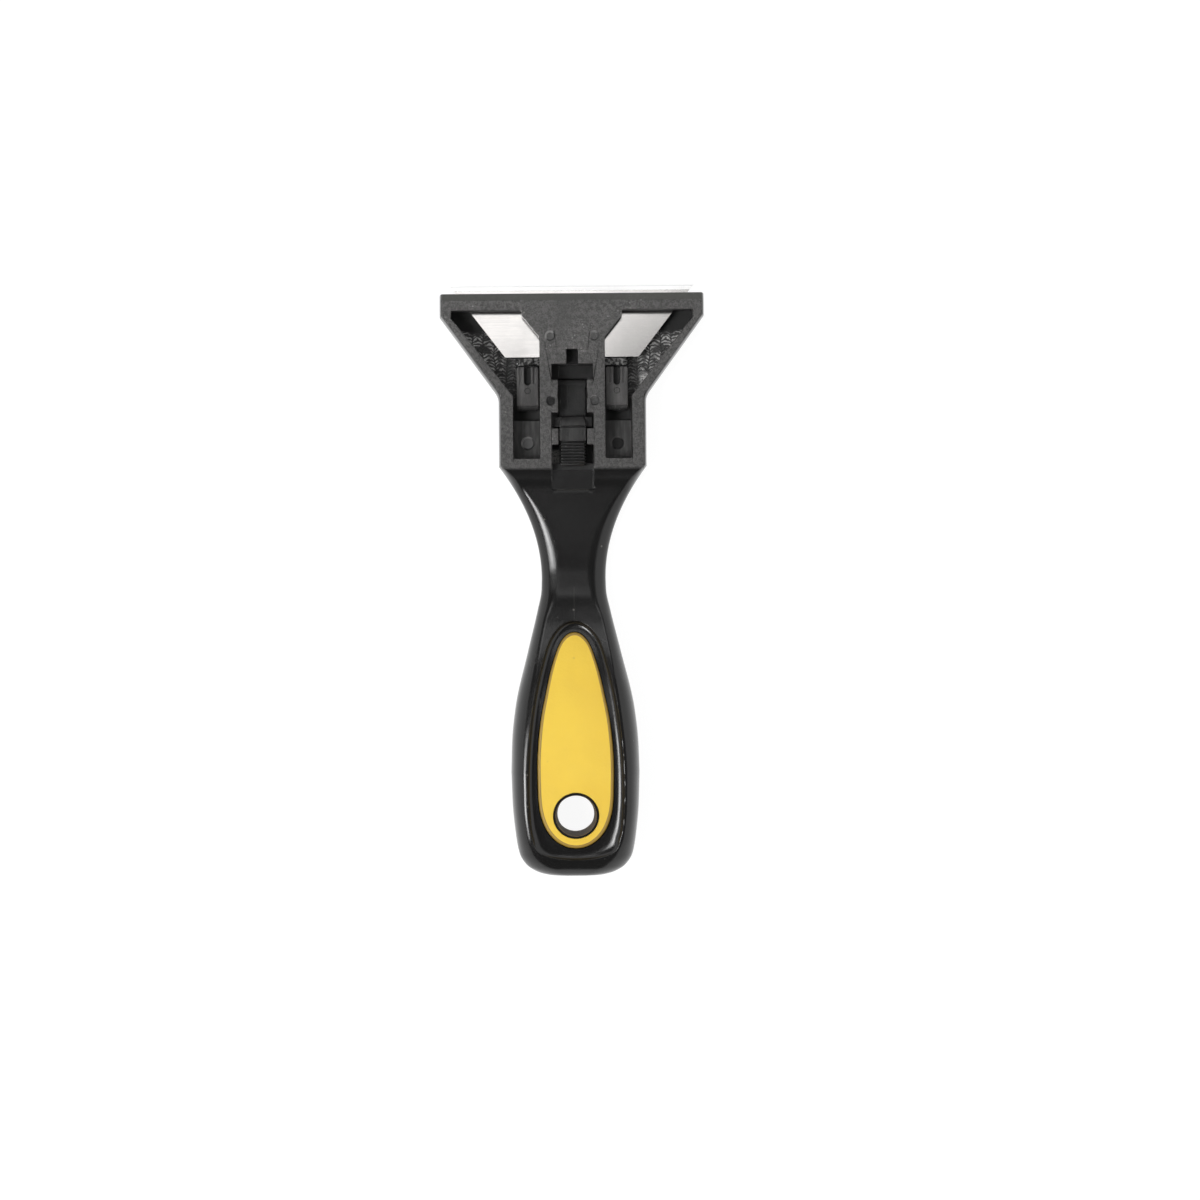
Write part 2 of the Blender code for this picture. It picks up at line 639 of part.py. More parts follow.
def make_blade():
    """Trapezoid blade, ground to its edge from both faces, with a hole for the carriage's stud."""
    middle = BLADE_Z + BLADE_THICKNESS / 2
    rings = []
    for y, half in ((BACK_Y, BLADE_THICKNESS / 2), (EDGE_Y - GRIND, BLADE_THICKNESS / 2), (EDGE_Y, EDGE_FLAT / 2)):
        x = BLADE_BACK_HALF + BLADE_SLOPE * (y - BACK_Y)
        corners = ((x, y, middle - half), (x, y, middle + half), (-x, y, middle + half), (-x, y, middle - half))
        rings.append([Vector(p) for p in corners])
    blade = drop(loft(rings), "blade")
    hole = post(0, STUD_Y, BLADE_HOLE_RADIUS, BLADE_Z - OVERRUN, BLADE_TOP_Z + OVERRUN)
    combine(blade, tool(hole, "blade_hole"), "DIFFERENCE")
    paint(blade, "blade_steel", (0.78, 0.77, 0.76), 0.25, 1.0)
    return blade


def plate_outline():
    foot_outer = BRIDGE_HALF + RUN + 2 * FOOT_HALF_WIDTH
    front_y = EDGE_Y - PLATE_SETBACK
    return mirrored([
        (foot_outer, PLATE_END_Y),
        (foot_outer, BACK_Y),
        (BLADE_BACK_HALF - PLATE_INSET, BACK_Y),
        (BLADE_BACK_HALF - PLATE_INSET + BLADE_SLOPE * (front_y - BACK_Y), front_y),
    ])


def foot_profile():
    """Side view of a foot: it rides over the raised channel floor behind the plate."""
    return [
        (FOOT_END_Y, BLADE_Z),
        (PLATE_END_Y, BLADE_Z),
        (PLATE_END_Y, PLATE_Z + RUN),
        (FOOT_FRONT_Y, PLATE_Z + RUN),
        (FOOT_FRONT_Y, FOOT_TOP_Z),
        (FOOT_END_Y + FOOT_CHAMFER, FOOT_TOP_Z),
        (FOOT_END_Y, FOOT_TOP_Z - FOOT_CHAMFER),
    ]


def make_carriage():
    """Plate under the blade with a stud, a lip behind the blade, two feet and the latch's seat."""
    plate_top = PLATE_Z + PLATE_THICKNESS
    carriage = drop(prism(plate_outline(), PLATE_Z, plate_top), "blade_carriage")
    inner = BRIDGE_HALF + RUN
    outer = inner + 2 * FOOT_HALF_WIDTH
    lip = block(-outer, outer, LIP_Y, LIP_Y + LIP_LENGTH, plate_top - RUN, plate_top + LIP_HEIGHT)
    combine(carriage, tool(lip, "lip"), "UNION")
    stud = post(0, STUD_Y, BLADE_HOLE_RADIUS - RUN, plate_top - RUN, BLADE_TOP_Z + STUD_HEAD)
    combine(carriage, tool(stud, "stud"), "UNION")
    for side in (1, -1):
        left, right = sorted((side * inner, side * outer))
        combine(carriage, tool(side_prism(foot_profile(), left, right), f"foot_{side}"), "UNION")
        middle = side * (inner + FOOT_HALF_WIDTH)
        slot_end = FOOT_FRONT_Y - FOOT_SLOT_LENGTH + FOOT_SLOT_HALF
        slot = foot_slot_outline(middle, slot_end)
        cut = prism(slot, FOOT_TOP_Z - FOOT_SLOT_DEPTH, FOOT_TOP_Z + OVERRUN)
        combine(carriage, tool(cut, f"foot_slot_{side}"), "DIFFERENCE")
    seat = post(0, 0, KNUCKLE_RADIUS + RUN, -CHANNEL_HALF, CHANNEL_HALF)
    bmesh.ops.rotate(seat, cent=(0, 0, 0), matrix=Matrix.Rotation(math.pi / 2, 3, "Y"), verts=seat.verts)
    bmesh.ops.translate(seat, vec=(0, PIVOT_Y, PIVOT_Z), verts=seat.verts)
    combine(carriage, tool(seat, "knuckle_seat"), "DIFFERENCE")
    shade(carriage)
    paint(carriage, "carriage_plastic", (0.03, 0.03, 0.03), 0.4)
    return carriage


def foot_slot_outline(middle, end_y):
    """Slot in a foot, open at the front and round at the rear."""
    half_turn = ARC_STEPS * 2
    arc = [math.pi + math.pi * i / half_turn for i in range(half_turn + 1)]
    points = [(middle + FOOT_SLOT_HALF * math.cos(a), end_y + FOOT_SLOT_HALF * math.sin(a)) for a in arc]
    return points + [(middle + FOOT_SLOT_HALF, LIP_Y), (middle - FOOT_SLOT_HALF, LIP_Y)]


def finger_profile():
    """Side view of the latch finger: arm, lug block, ramp, thumb block and toothed pad."""
    arm_top = ARM_Z + ARM_THICKNESS
    block_top = LUG_TOP_Z + BLOCK_RISE
    pad_top = block_top - PAD_DROP
    pitch = PAD_LENGTH / PAD_TEETH
    teeth = []
    for i in range(PAD_TEETH):
        y = PAD_Y - i * pitch
        teeth += [(y, pad_top), (y - pitch, pad_top - PAD_TOOTH)]
    lug_front = LUG_Y + LUG_LENGTH / 2
    return [
        (PIVOT_Y, ARM_Z),
        (BLOCK_Y, ARM_Z),
        (BLOCK_Y, BLOCK_UNDER_Z),
        (PAD_END_Y, BLOCK_UNDER_Z),
        *teeth[::-1],
        (PAD_Y, block_top),
        (BLOCK_Y, block_top),
        (LUG_END_Y, LUG_TOP_Z + RAMP_RISE),
        (lug_front, LUG_TOP_Z - RUN),
        (lug_front, arm_top),
        (PIVOT_Y, arm_top),
    ]


def make_latch():
    """Spring finger in the carriage: its origin is the middle of the knuckle that it turns on."""
    pivot = (0, PIVOT_Y, PIVOT_Z)
    latch = drop(side_prism(finger_profile(), -FINGER_HALF, FINGER_HALF), "slide_latch", pivot)
    lug_half = FINGER_HALF + LUG_SIDE
    lugs = block(-lug_half, lug_half, LUG_END_Y, LUG_Y + LUG_LENGTH / 2 - RUN, ARM_Z + RUN, LUG_TOP_Z)
    combine(latch, tool(lugs, "lugs"), "UNION")
    knuckle = post(0, 0, KNUCKLE_RADIUS, -FINGER_HALF - RUN / 3, FINGER_HALF + RUN / 3)
    bmesh.ops.rotate(knuckle, cent=(0, 0, 0), matrix=Matrix.Rotation(math.pi / 2, 3, "Y"), verts=knuckle.verts)
    bmesh.ops.translate(knuckle, vec=pivot, verts=knuckle.verts)
    combine(latch, tool(knuckle, "knuckle"), "UNION")
    shade(latch)
    paint(latch, "latch_plastic", (0.025, 0.025, 0.025), 0.4)
    return latch


def build():
    for old in list(bpy.data.objects):
        bpy.data.objects.remove(old, do_unlink=True)
    make_shells()
    make_inlay(1, "grip_inlay_back")
    make_inlay(-1, "grip_inlay_front")
    make_blade()
    make_carriage()
    make_latch()


build()
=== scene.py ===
"""Hand scraper with a retracting trapezoid blade: its looks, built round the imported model.

Metres, +Z up. X runs across the tool, Y along it towards the blade, and the back side, with the
blade carriage open to view, faces up.
"""

import functools
import json
import math

import bmesh
import bpy
from bpy.props import FloatProperty, FloatVectorProperty, IntProperty, PointerProperty
from mathutils import Matrix, Vector

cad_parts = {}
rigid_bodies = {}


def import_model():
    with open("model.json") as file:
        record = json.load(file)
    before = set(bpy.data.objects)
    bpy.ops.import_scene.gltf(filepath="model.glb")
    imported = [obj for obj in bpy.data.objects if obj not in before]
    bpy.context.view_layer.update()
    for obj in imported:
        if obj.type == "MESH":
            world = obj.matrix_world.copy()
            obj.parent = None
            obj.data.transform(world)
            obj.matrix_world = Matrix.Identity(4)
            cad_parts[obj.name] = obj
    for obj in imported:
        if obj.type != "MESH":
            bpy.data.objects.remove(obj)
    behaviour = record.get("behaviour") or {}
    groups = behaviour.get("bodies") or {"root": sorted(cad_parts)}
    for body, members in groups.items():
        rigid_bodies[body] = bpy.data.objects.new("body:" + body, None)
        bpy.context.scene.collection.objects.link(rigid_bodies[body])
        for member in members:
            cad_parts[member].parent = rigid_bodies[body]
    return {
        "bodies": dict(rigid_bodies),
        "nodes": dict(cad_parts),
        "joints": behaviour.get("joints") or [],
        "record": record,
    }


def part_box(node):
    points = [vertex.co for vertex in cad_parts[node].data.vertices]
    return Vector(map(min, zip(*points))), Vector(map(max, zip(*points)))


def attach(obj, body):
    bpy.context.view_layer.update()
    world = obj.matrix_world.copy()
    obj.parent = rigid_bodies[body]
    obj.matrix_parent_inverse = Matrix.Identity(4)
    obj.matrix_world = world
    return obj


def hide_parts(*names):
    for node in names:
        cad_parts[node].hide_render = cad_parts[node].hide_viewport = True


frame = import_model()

bl_info = {
    "name": "Hand Scraper",
    "version": (1, 0, 0),
    "blender": (4, 5, 0),
    "location": "View3D > Sidebar > Scraper",
    "description": "Builds a hand scraper with a retracting trapezoid blade",
    "category": "Add Mesh",
}

MM = 0.001
WHITE = (1, 1, 1, 1)

# Places along the tool, from the middle of its length
EDGE_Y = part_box("blade")[1].y
END_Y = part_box("back_shell")[0].y
NOSE_Y = EDGE_Y - 2.35 * MM
FLARE_Y = NOSE_Y - 5.5 * MM
BEND_Y = FLARE_Y - 20.2 * MM
SHOULDER_Y = BEND_Y - 17.6 * MM
ROLL_Y = SHOULDER_Y - 5.9 * MM
NECK_Y = SHOULDER_Y - 28.1 * MM
RISE_Y = ROLL_Y - 20.0 * MM
BELLY_Y = NECK_Y - 48.5 * MM
WINDOW_TOP_Y = NOSE_Y - 4.3 * MM
WINDOW_END_Y = SHOULDER_Y + 1.8 * MM
CHAMBER_END_Y = SHOULDER_Y + 0.8 * MM
BACK_Y = EDGE_Y - 18.0 * MM
LIP_Y = BACK_Y - 2.1 * MM
FOOT_FRONT_Y = LIP_Y - 0.5 * MM
FOOT_END_Y = FOOT_FRONT_Y - 11.0 * MM
PLATE_END_Y = LIP_Y - 5.3 * MM
PIVOT_Y = LIP_Y - 4.65 * MM
LUG_Y = PIVOT_Y - 9.6 * MM
LUG_END_Y = LUG_Y - 1.4 * MM
BLOCK_Y = LUG_END_Y - 0.3 * MM
PAD_Y = BLOCK_Y - 3.4 * MM
PAD_END_Y = PAD_Y - 6.3 * MM
STUD_Y = BACK_Y + 5.8 * MM
FOOT_SLOT_Y = FOOT_FRONT_Y - 4.6 * MM
RING_Y = FOOT_SLOT_Y - 1.35 * MM
SEAM_Y = FOOT_END_Y + 1.5 * MM
INLAY_TOP_Y = NECK_Y - 13.6 * MM
INLAY_END_Y = END_Y + 7.35 * MM
INLAY_MID_Y = (INLAY_TOP_Y + INLAY_END_Y) / 2
INLAY_LENGTH = INLAY_TOP_Y - INLAY_END_Y
HOLE_Y = INLAY_END_Y + 8.2 * MM
CHANNEL_TOP_Y = WINDOW_END_Y + 9.95 * MM
WELL_TOP_Y = CHAMBER_END_Y + 5.0 * MM
NOTCH_REACH = 2.0 * MM
FORWARD_RUN = 12.2 * MM
BACKWARD_RUN = 8.0 * MM
KEYHOLE_LENGTH = 3.75 * MM
PLATE_FRONT_Y = EDGE_Y - 3.65 * MM
UPPER_EJECTOR_Y = WINDOW_TOP_Y - 6.5 * MM
LOWER_EJECTOR_Y = LUG_Y + 4.95 * MM
CHANNEL_EJECTOR_Y = 34.6 * MM

# Widths
HEAD_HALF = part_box("back_shell")[1].x
SHANK_HALF = 18.6 * MM
NECK_HALF = 8.1 * MM
BELLY_HALF = 16.1 * MM
SIDE_DRAFT = 0.8 * MM
FLARE_BEND = 1.4 * MM
NECK_FACET_HALF = 3.5 * MM
RIDGE_HALF = 12.1 * MM
WINDOW_HALF = HEAD_HALF - 3.0 * MM
CHANNEL_OUTER = SHANK_HALF - 3.85 * MM
BRIDGE_HALF = 8.2 * MM
BRIDGE_TOP_HALF = 12.6 * MM
MOUTH_HALF = 31.0 * MM
FINGER_HALF = 3.3 * MM
SLOT_HALF = 3.6 * MM
NOTCH_HALF = 5.2 * MM
FOOT_INNER = 8.5 * MM
FOOT_OUTER = 14.0 * MM
FOOT_MIDDLE = (FOOT_INNER + FOOT_OUTER) / 2
INLAY_HALF = 9.45 * MM
HOLE_RADIUS = 5.1 * MM
EYE_RADIUS = 5.6 * MM
HOLE_DRAFT = 0.5 * MM
KEYHOLE_HALF = 1.45 * MM
BLADE_HALF = HEAD_HALF - 2.6 * MM
BLADE_BACK_HALF = 16.85 * MM
PLATE_BACK_HALF = 15.55 * MM
STUD_RADIUS = 2.2 * MM
FOOT_SLOT_HALF = 0.85 * MM
STRIPE_X = 1.75 * MM
SEAM_HALF = 2.4 * MM
BRIDGE_EJECTOR_X = 5.5 * MM
CHANNEL_EJECTOR_X = 11.3 * MM
BRIDGE_EJECTOR_RADIUS = 1.1 * MM
CHANNEL_EJECTOR_RADIUS = 1.5 * MM

# Heights
HEAD_THICKNESS = 10.2 * MM
NECK_THICKNESS = 7.0 * MM
HANDLE_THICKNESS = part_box("back_shell")[1].z
NOSE_STEP = 1.8 * MM
NOSE_DROP = 1.0 * MM
UNDER_BEVEL = 8.0 * MM
UNDER_RISE = 1.3 * MM
FLOOR_Z = 2.6 * MM
PLATE_Z = 2.9 * MM
PLATE_TOP_Z = 4.9 * MM
WELL_Z = 4.3 * MM
CHANNEL_Z = 4.6 * MM
BLADE_TOP_Z = 5.8 * MM
MOUTH_TOP_Z = 6.3 * MM
FOOT_TOP_Z = 7.0 * MM
BRIDGE_Z = 7.3 * MM
SCOOP_DEPTH = 1.5 * MM
INLAY_THICKNESS = 1.7 * MM
RUN = 0.3 * MM
OVER = 2.0 * MM
SCOOP_MARGIN = 2.8 * MM
SCOOP_RIDGE = 0.8 * MM
SCOOP_CURVE = 4.0
RIDGE_EASE = 0.05
RIDGE_BAND = 0.3
RIDGE_FACE = 0.12 * MM
FLAT_SPREAD = 1.35
CAP_DOME = 0.35 * MM
SLOT_FLOOR_Z = NECK_THICKNESS - 0.03 * MM
BLADE_Z = 5.2 * MM
LIP_TOP_Z = 5.9 * MM
PIVOT_Z = 5.0 * MM
LUG_TOP_Z = 7.0 * MM
BLOCK_TOP_Z = 9.8 * MM
PAD_TOP_Z = 9.45 * MM
PAD_UNDER_Z = 7.45 * MM
PAD_RIBS = 8
KNUCKLE_RADIUS = 1.1 * MM
LUG_HALF = 4.9 * MM
RIB_OVERHANG = 0.45 * MM
KEEPER_HALF = 1.9 * MM
KEEPER_Z = 5.84 * MM
KEEPER_TOP_Z = 6.12 * MM
FOOT_SLOT_Z = 5.3 * MM
FOOT_PROFILE = (
    (FOOT_END_Y, BLADE_Z),
    (PLATE_END_Y, BLADE_Z),
    (PLATE_END_Y, PLATE_Z + RUN),
    (FOOT_FRONT_Y, PLATE_Z + RUN),
    (FOOT_FRONT_Y, FOOT_TOP_Z),
    (FOOT_END_Y + 1.3 * MM, FOOT_TOP_Z),
    (FOOT_END_Y + 1.15 * MM, FOOT_TOP_Z - 0.3 * MM),
    (FOOT_END_Y + 0.35 * MM, FOOT_TOP_Z - 0.45 * MM),
    (FOOT_END_Y, FOOT_TOP_Z - 0.8 * MM),
)
GROOVE_WIDTH = 0.16 * MM
GROOVE_DEPTH = 0.07 * MM
FLOOR_GAP = 0.05 * MM
INLAY_ROUND = 0.6 * MM
INLAY_BORDER = 1.2 * MM

# Fineness of the meshes
HOLE_STEPS = 64
POST_STEPS = 32
STUD_STEPS = 48
EJECTOR_STEPS = 28
POCKET_STEPS = 96
INLAY_STEPS = 128
SOFT_DEGREES = 38
SHARP_DEGREES = 34

# Shares of the runs and sizes that they follow
BELLY_SWELL_SHARES = (
    (0, 0), (0.062, 0.012), (0.166, 0.137), (0.369, 0.435), (0.67, 0.857), (0.85, 0.972), (1, 1))
TAIL_WIDTH_SHARES = (
    (0, 1), (0.305, 0.984), (0.61, 0.935), (0.785, 0.88), (0.891, 0.775), (0.96, 0.6), (1, 0.36))
FACET_SWELL_SHARES = (
    (0, 0), (0.082, 0.07), (0.2165, 0.38), (0.4, 0.6), (0.67, 0.815), (0.946, 0.988), (1, 1))
TAIL_FACET_SHARES = (
    (0, 1), (0.305, 0.995), (0.61, 0.92), (0.785, 0.72), (0.891, 0.5), (0.96, 0.3), (1, 0.12))
ROLL_SHARES = ((0, 1), (0.12, 0.96), (0.35, 0.68), (0.65, 0.25), (0.85, 0.06), (1, 0))
HANDLE_RISE_SHARES = ((0, 0), (0.12, 0.05), (0.25, 0.22), (0.45, 0.6), (0.6, 0.8), (0.8, 0.95), (1, 1))
TAIL_THICKNESS_SHARES = (
    (0, 1), (0.4, 0.985), (0.61, 0.95), (0.8, 0.85), (0.9, 0.72), (0.96, 0.55), (1, 0.3))
INLAY_FULL_SHARES = (
    (-1, 1.49), (-0.87, 1.42), (-0.7, 1.295), (-0.4, 1.095), (-0.1, 1), (0.22, 0.92), (0.49, 0.85),
    (0.75, 0.83), (1, 0.92))
SCOOP_FULL_SHARES = (
    (-1, 2.6), (-0.963, 2.3), (-0.808, 1.53), (-0.54, 1.165), (-0.18, 0.99), (0.27, 0.895),
    (0.6, 0.87), (1, 1))


# Sizes and colours

class ScraperSizes(bpy.types.PropertyGroup):
    edge_round: FloatProperty(
        name="Edge rounding", description="Width of the rounding along moulded edges",
        default=0.2 * MM, min=0.0, unit="LENGTH", subtype="DISTANCE", precision=5)
    corner_round: FloatProperty(
        name="Corner rounding", description="Radius of the upright corners of the openings",
        default=0.35 * MM, min=0.0, unit="LENGTH", subtype="DISTANCE", precision=5)
    seam_gap: FloatProperty(
        name="Seam", description="Width of the joint line between the two shells",
        default=0.1 * MM, min=0.0, unit="LENGTH", subtype="DISTANCE", precision=5)
    quarter_steps: IntProperty(
        name="Steps in a quarter", description="Faces in a quarter of the body's cross section",
        default=14, min=4, max=40)
    flat_steps: IntProperty(
        name="Steps across a flat", description="Faces across half of the body's flat sides",
        default=26, min=4, max=60)
    camera_height: FloatProperty(
        name="Camera height", description="Height of the camera above the floor",
        default=552.5 * MM, min=0.1, unit="LENGTH", subtype="DISTANCE")


class ScraperColours(bpy.types.PropertyGroup):
    gloss_plastic: FloatVectorProperty(
        name="Polished plastic", description="Colour of the handle's polished plastic",
        default=(0.0085, 0.0083, 0.0083, 1), size=4, min=0, max=1, subtype="COLOR")
    matte_plastic: FloatVectorProperty(
        name="Spark-grained plastic", description="Colour of the head's matte plastic",
        default=(0.062, 0.06, 0.0585, 1), size=4, min=0, max=1, subtype="COLOR")
    carriage_plastic: FloatVectorProperty(
        name="Carriage plastic", description="Colour of the blade carriage and its latch finger",
        default=(0.062, 0.06, 0.059, 1), size=4, min=0, max=1, subtype="COLOR")
    rubber: FloatVectorProperty(
        name="Grip inlay", description="Colour of the soft yellow inlays",
        default=(0.88, 0.6, 0.042, 1), size=4, min=0, max=1, subtype="COLOR")
    steel: FloatVectorProperty(
        name="Blade steel", description="Colour of the blade",
        default=(0.87, 0.845, 0.825, 1), size=4, min=0, max=1, subtype="COLOR")


# The body's lines

def smooth(table, share):
    """Reads a table of (place, value) rows with a monotone cubic curve through them."""
    if share <= table[0][0]:
        return table[0][1]
    if share >= table[-1][0]:
        return table[-1][1]
    steps = [(b[1] - a[1]) / (b[0] - a[0]) for a, b in zip(table, table[1:])]
    inner = [0 if p * q <= 0 else 2 * p * q / (p + q) for p, q in zip(steps, steps[1:])]
    slopes = [steps[0], *inner, steps[-1]]
    row = max(i for i, point in enumerate(table[:-1]) if point[0] <= share)
    (x0, v0), (x1, v1) = table[row], table[row + 1]
    width = x1 - x0
    t = (share - x0) / width
    rise = (3 - 2 * t) * t * t
    first, last = t * (1 - t) ** 2, t * t * (t - 1)
    return v0 + (v1 - v0) * rise + width * (slopes[row] * first + slopes[row + 1] * last)


def between(low, high, share):
    return low + (high - low) * share


def spread(start, end, steps):
    return [between(start, end, i / steps) for i in range(steps + 1)]


@functools.cache
def samples(table):
    """A table's curve at even steps from -1 to 1."""
    return [smooth(table, share) for share in spread(-1, 1, 600)]


def sampled(table, share):
    """Reads a table's curve quickly, from its samples."""
    values = samples(table)
    spot = (share + 1) / 2 * (len(values) - 1)
    row = min(int(spot), len(values) - 2)
    return between(values[row], values[row + 1], spot - row)


def bent_width(y):
    """Half width of the head: straight nose, flare and shank with soft bends between them."""
    slope = (HEAD_HALF - SHANK_HALF) / (FLARE_Y - BEND_Y)
    if y >= FLARE_Y:
        return HEAD_HALF
    if y > BEND_Y + FLARE_BEND:
        return SHANK_HALF + slope * (y - BEND_Y)
    if y > BEND_Y - FLARE_BEND:
        return SHANK_HALF + slope * (y - BEND_Y + FLARE_BEND) ** 2 / (4 * FLARE_BEND)
    return SHANK_HALF


def swell_share(y):
    """Share of the way from the neck to the belly."""
    return (NECK_Y - y) / (NECK_Y - BELLY_Y)


def tail_share(y):
    """Share of the way from the belly to the end."""
    return (BELLY_Y - y) / (BELLY_Y - END_Y)


def half_width(y):
    """Half width of the body along the seam."""
    if y >= SHOULDER_Y:
        return bent_width(y)
    if y >= NECK_Y:
        fall = (1 - (SHOULDER_Y - y) / (SHOULDER_Y - NECK_Y)) ** 2
        return between(NECK_HALF, SHANK_HALF, fall)
    if y >= BELLY_Y:
        return between(NECK_HALF, BELLY_HALF, smooth(BELLY_SWELL_SHARES, swell_share(y)))
    return BELLY_HALF * smooth(TAIL_WIDTH_SHARES, tail_share(y))


def facet_half(y):
    """Half width of the flat along the middle of the back and front sides."""
    if y >= SHOULDER_Y:
        return bent_width(y) - SIDE_DRAFT
    if y >= NECK_Y:
        fall = (1 - (SHOULDER_Y - y) / (SHOULDER_Y - NECK_Y)) ** 2.2
        return between(NECK_FACET_HALF, SHANK_HALF - SIDE_DRAFT, fall)
    if y >= BELLY_Y:
        return between(NECK_FACET_HALF, RIDGE_HALF, smooth(FACET_SWELL_SHARES, swell_share(y)))
    return RIDGE_HALF * smooth(TAIL_FACET_SHARES, tail_share(y))


def thickness(y):
    """Thickness of the body before the nose bevels."""
    if y >= SHOULDER_Y:
        return HEAD_THICKNESS
    if y >= ROLL_Y:
        fall = smooth(ROLL_SHARES, (SHOULDER_Y - y) / (SHOULDER_Y - ROLL_Y))
        return between(NECK_THICKNESS, HEAD_THICKNESS, fall)
    if y >= RISE_Y:
        return NECK_THICKNESS
    rise = smooth(HANDLE_RISE_SHARES, (RISE_Y - y) / (RISE_Y - BELLY_Y))
    return between(NECK_THICKNESS, HANDLE_THICKNESS, rise)


def middle_z(y):
    return thickness(y) / 2


def side_z(y, side):
    """Height of the back (side 1) or the front (side -1) along the middle of the tool."""
    half = thickness(y) / 2
    if y < BELLY_Y:
        half *= smooth(TAIL_THICKNESS_SHARES, tail_share(y))
    trim = 0
    if side > 0 and y > NOSE_Y - NOSE_STEP:
        trim = NOSE_DROP * (y - NOSE_Y + NOSE_STEP) / NOSE_STEP
    if side < 0 and y > NOSE_Y - UNDER_BEVEL:
        trim = UNDER_RISE * (y - NOSE_Y + UNDER_BEVEL) / UNDER_BEVEL
    return middle_z(y) + side * (half - trim)


def stations():
    """Rows of the body from the nose to the end: the place along Y, and a share of the section's size."""
    head = [NOSE_Y, NOSE_Y - NOSE_STEP, FLARE_Y, NOSE_Y - UNDER_BEVEL]
    head += spread(BEND_Y + FLARE_BEND, BEND_Y - FLARE_BEND, 6)
    roll = spread(SHOULDER_Y, ROLL_Y, 14)
    neck = spread(ROLL_Y, NECK_Y, 22)
    top, end, rim = INLAY_TOP_Y + SCOOP_MARGIN, INLAY_END_Y - SCOOP_MARGIN, END_Y + CAP_DOME
    belly = spread(NECK_Y, top + SCOOP_RIDGE, 10) + spread(top + SCOOP_RIDGE, top - 5 * MM, 18)[1:]
    belly += spread(top - 5 * MM, BELLY_Y, 36)[1:]
    tail = spread(BELLY_Y, end + 5 * MM, 16) + spread(end + 5 * MM, end - SCOOP_RIDGE, 18)[1:]
    first = math.asin((BELLY_Y - tail[-1]) / (BELLY_Y - rim))
    rounds = [BELLY_Y - (BELLY_Y - rim) * math.sin(turn) for turn in spread(first, math.pi / 2, 16)]
    rows = [(y, 1.0) for y in head + roll + neck[1:] + belly[1:] + tail[1:] + rounds[1:]]
    return rows + [(END_Y + CAP_DOME * size * size, size) for size in (0.85, 0.65, 0.4, 0.15)]


def egg_point(shares, margin, angle):
    """Point of the outline of the inlay or its scoop: a round-ended drop, wide towards the end."""
    across = (INLAY_HALF + margin) * math.sin(angle) * sampled(shares, math.cos(angle))
    return across, INLAY_MID_Y + (INLAY_LENGTH / 2 + margin) * math.cos(angle)


@functools.cache
def scoop_share(x, y):
    """How far a point lies from the inlay's outline, at 0, to the scoop's ridge, at 1."""
    low, high = -1.0, 1.6
    for _ in range(14):
        share = (low + high) / 2
        reach = INLAY_LENGTH / 2 + between(RUN / 2, SCOOP_MARGIN, share)
        place = (y - INLAY_MID_Y) / reach
        if abs(place) >= 1:
            low = share
            continue
        angle = math.acos(place)
        inner = egg_point(INLAY_FULL_SHARES, RUN / 2, angle)[0]
        outer = egg_point(SCOOP_FULL_SHARES, SCOOP_MARGIN, angle)[0]
        if between(inner, outer, share) < x:
            low = share
        else:
            high = share
    return (low + high) / 2


def near_scoop(y):
    return abs(y - INLAY_MID_Y) <= INLAY_LENGTH / 2 + 2 * SCOOP_MARGIN


def scoop_drop(x, y):
    """Depth of the dish round an inlay, with a rounded ridge; the eye's rim stands proud in it."""
    if not near_scoop(y):
        return 0.0
    share = scoop_share(x, y)
    if share < -0.3:
        return -SCOOP_DEPTH + RUN
    over = 1 - max(0.0, share) ** SCOOP_CURVE
    rounded = (over + math.sqrt(over * over + RIDGE_EASE * RIDGE_EASE)) / 2
    return -SCOOP_DEPTH * min(1.0, rounded)


def skin_z(x, y, side, gap):
    """Height of the body's skin over a place, from the flat out to the seam."""
    row = max(y, END_Y + CAP_DOME)
    flat, middle = facet_half(row), middle_z(row)
    across = max(0.0, (abs(x) - flat) / (half_width(row) - flat))
    rise = abs(side_z(row, side) - middle) * math.sqrt(max(0.0, 1 - across * across))
    return middle + side * max(gap / 2, rise + scoop_drop(abs(x), y))


# Mesh helpers

def place(bm, name):
    """Turns a bmesh in world places into an object at the origin."""
    mesh = bpy.data.meshes.new(name)
    bm.to_mesh(mesh)
    bm.free()
    thing = bpy.data.objects.new(name, mesh)
    bpy.context.scene.collection.objects.link(thing)
    return thing


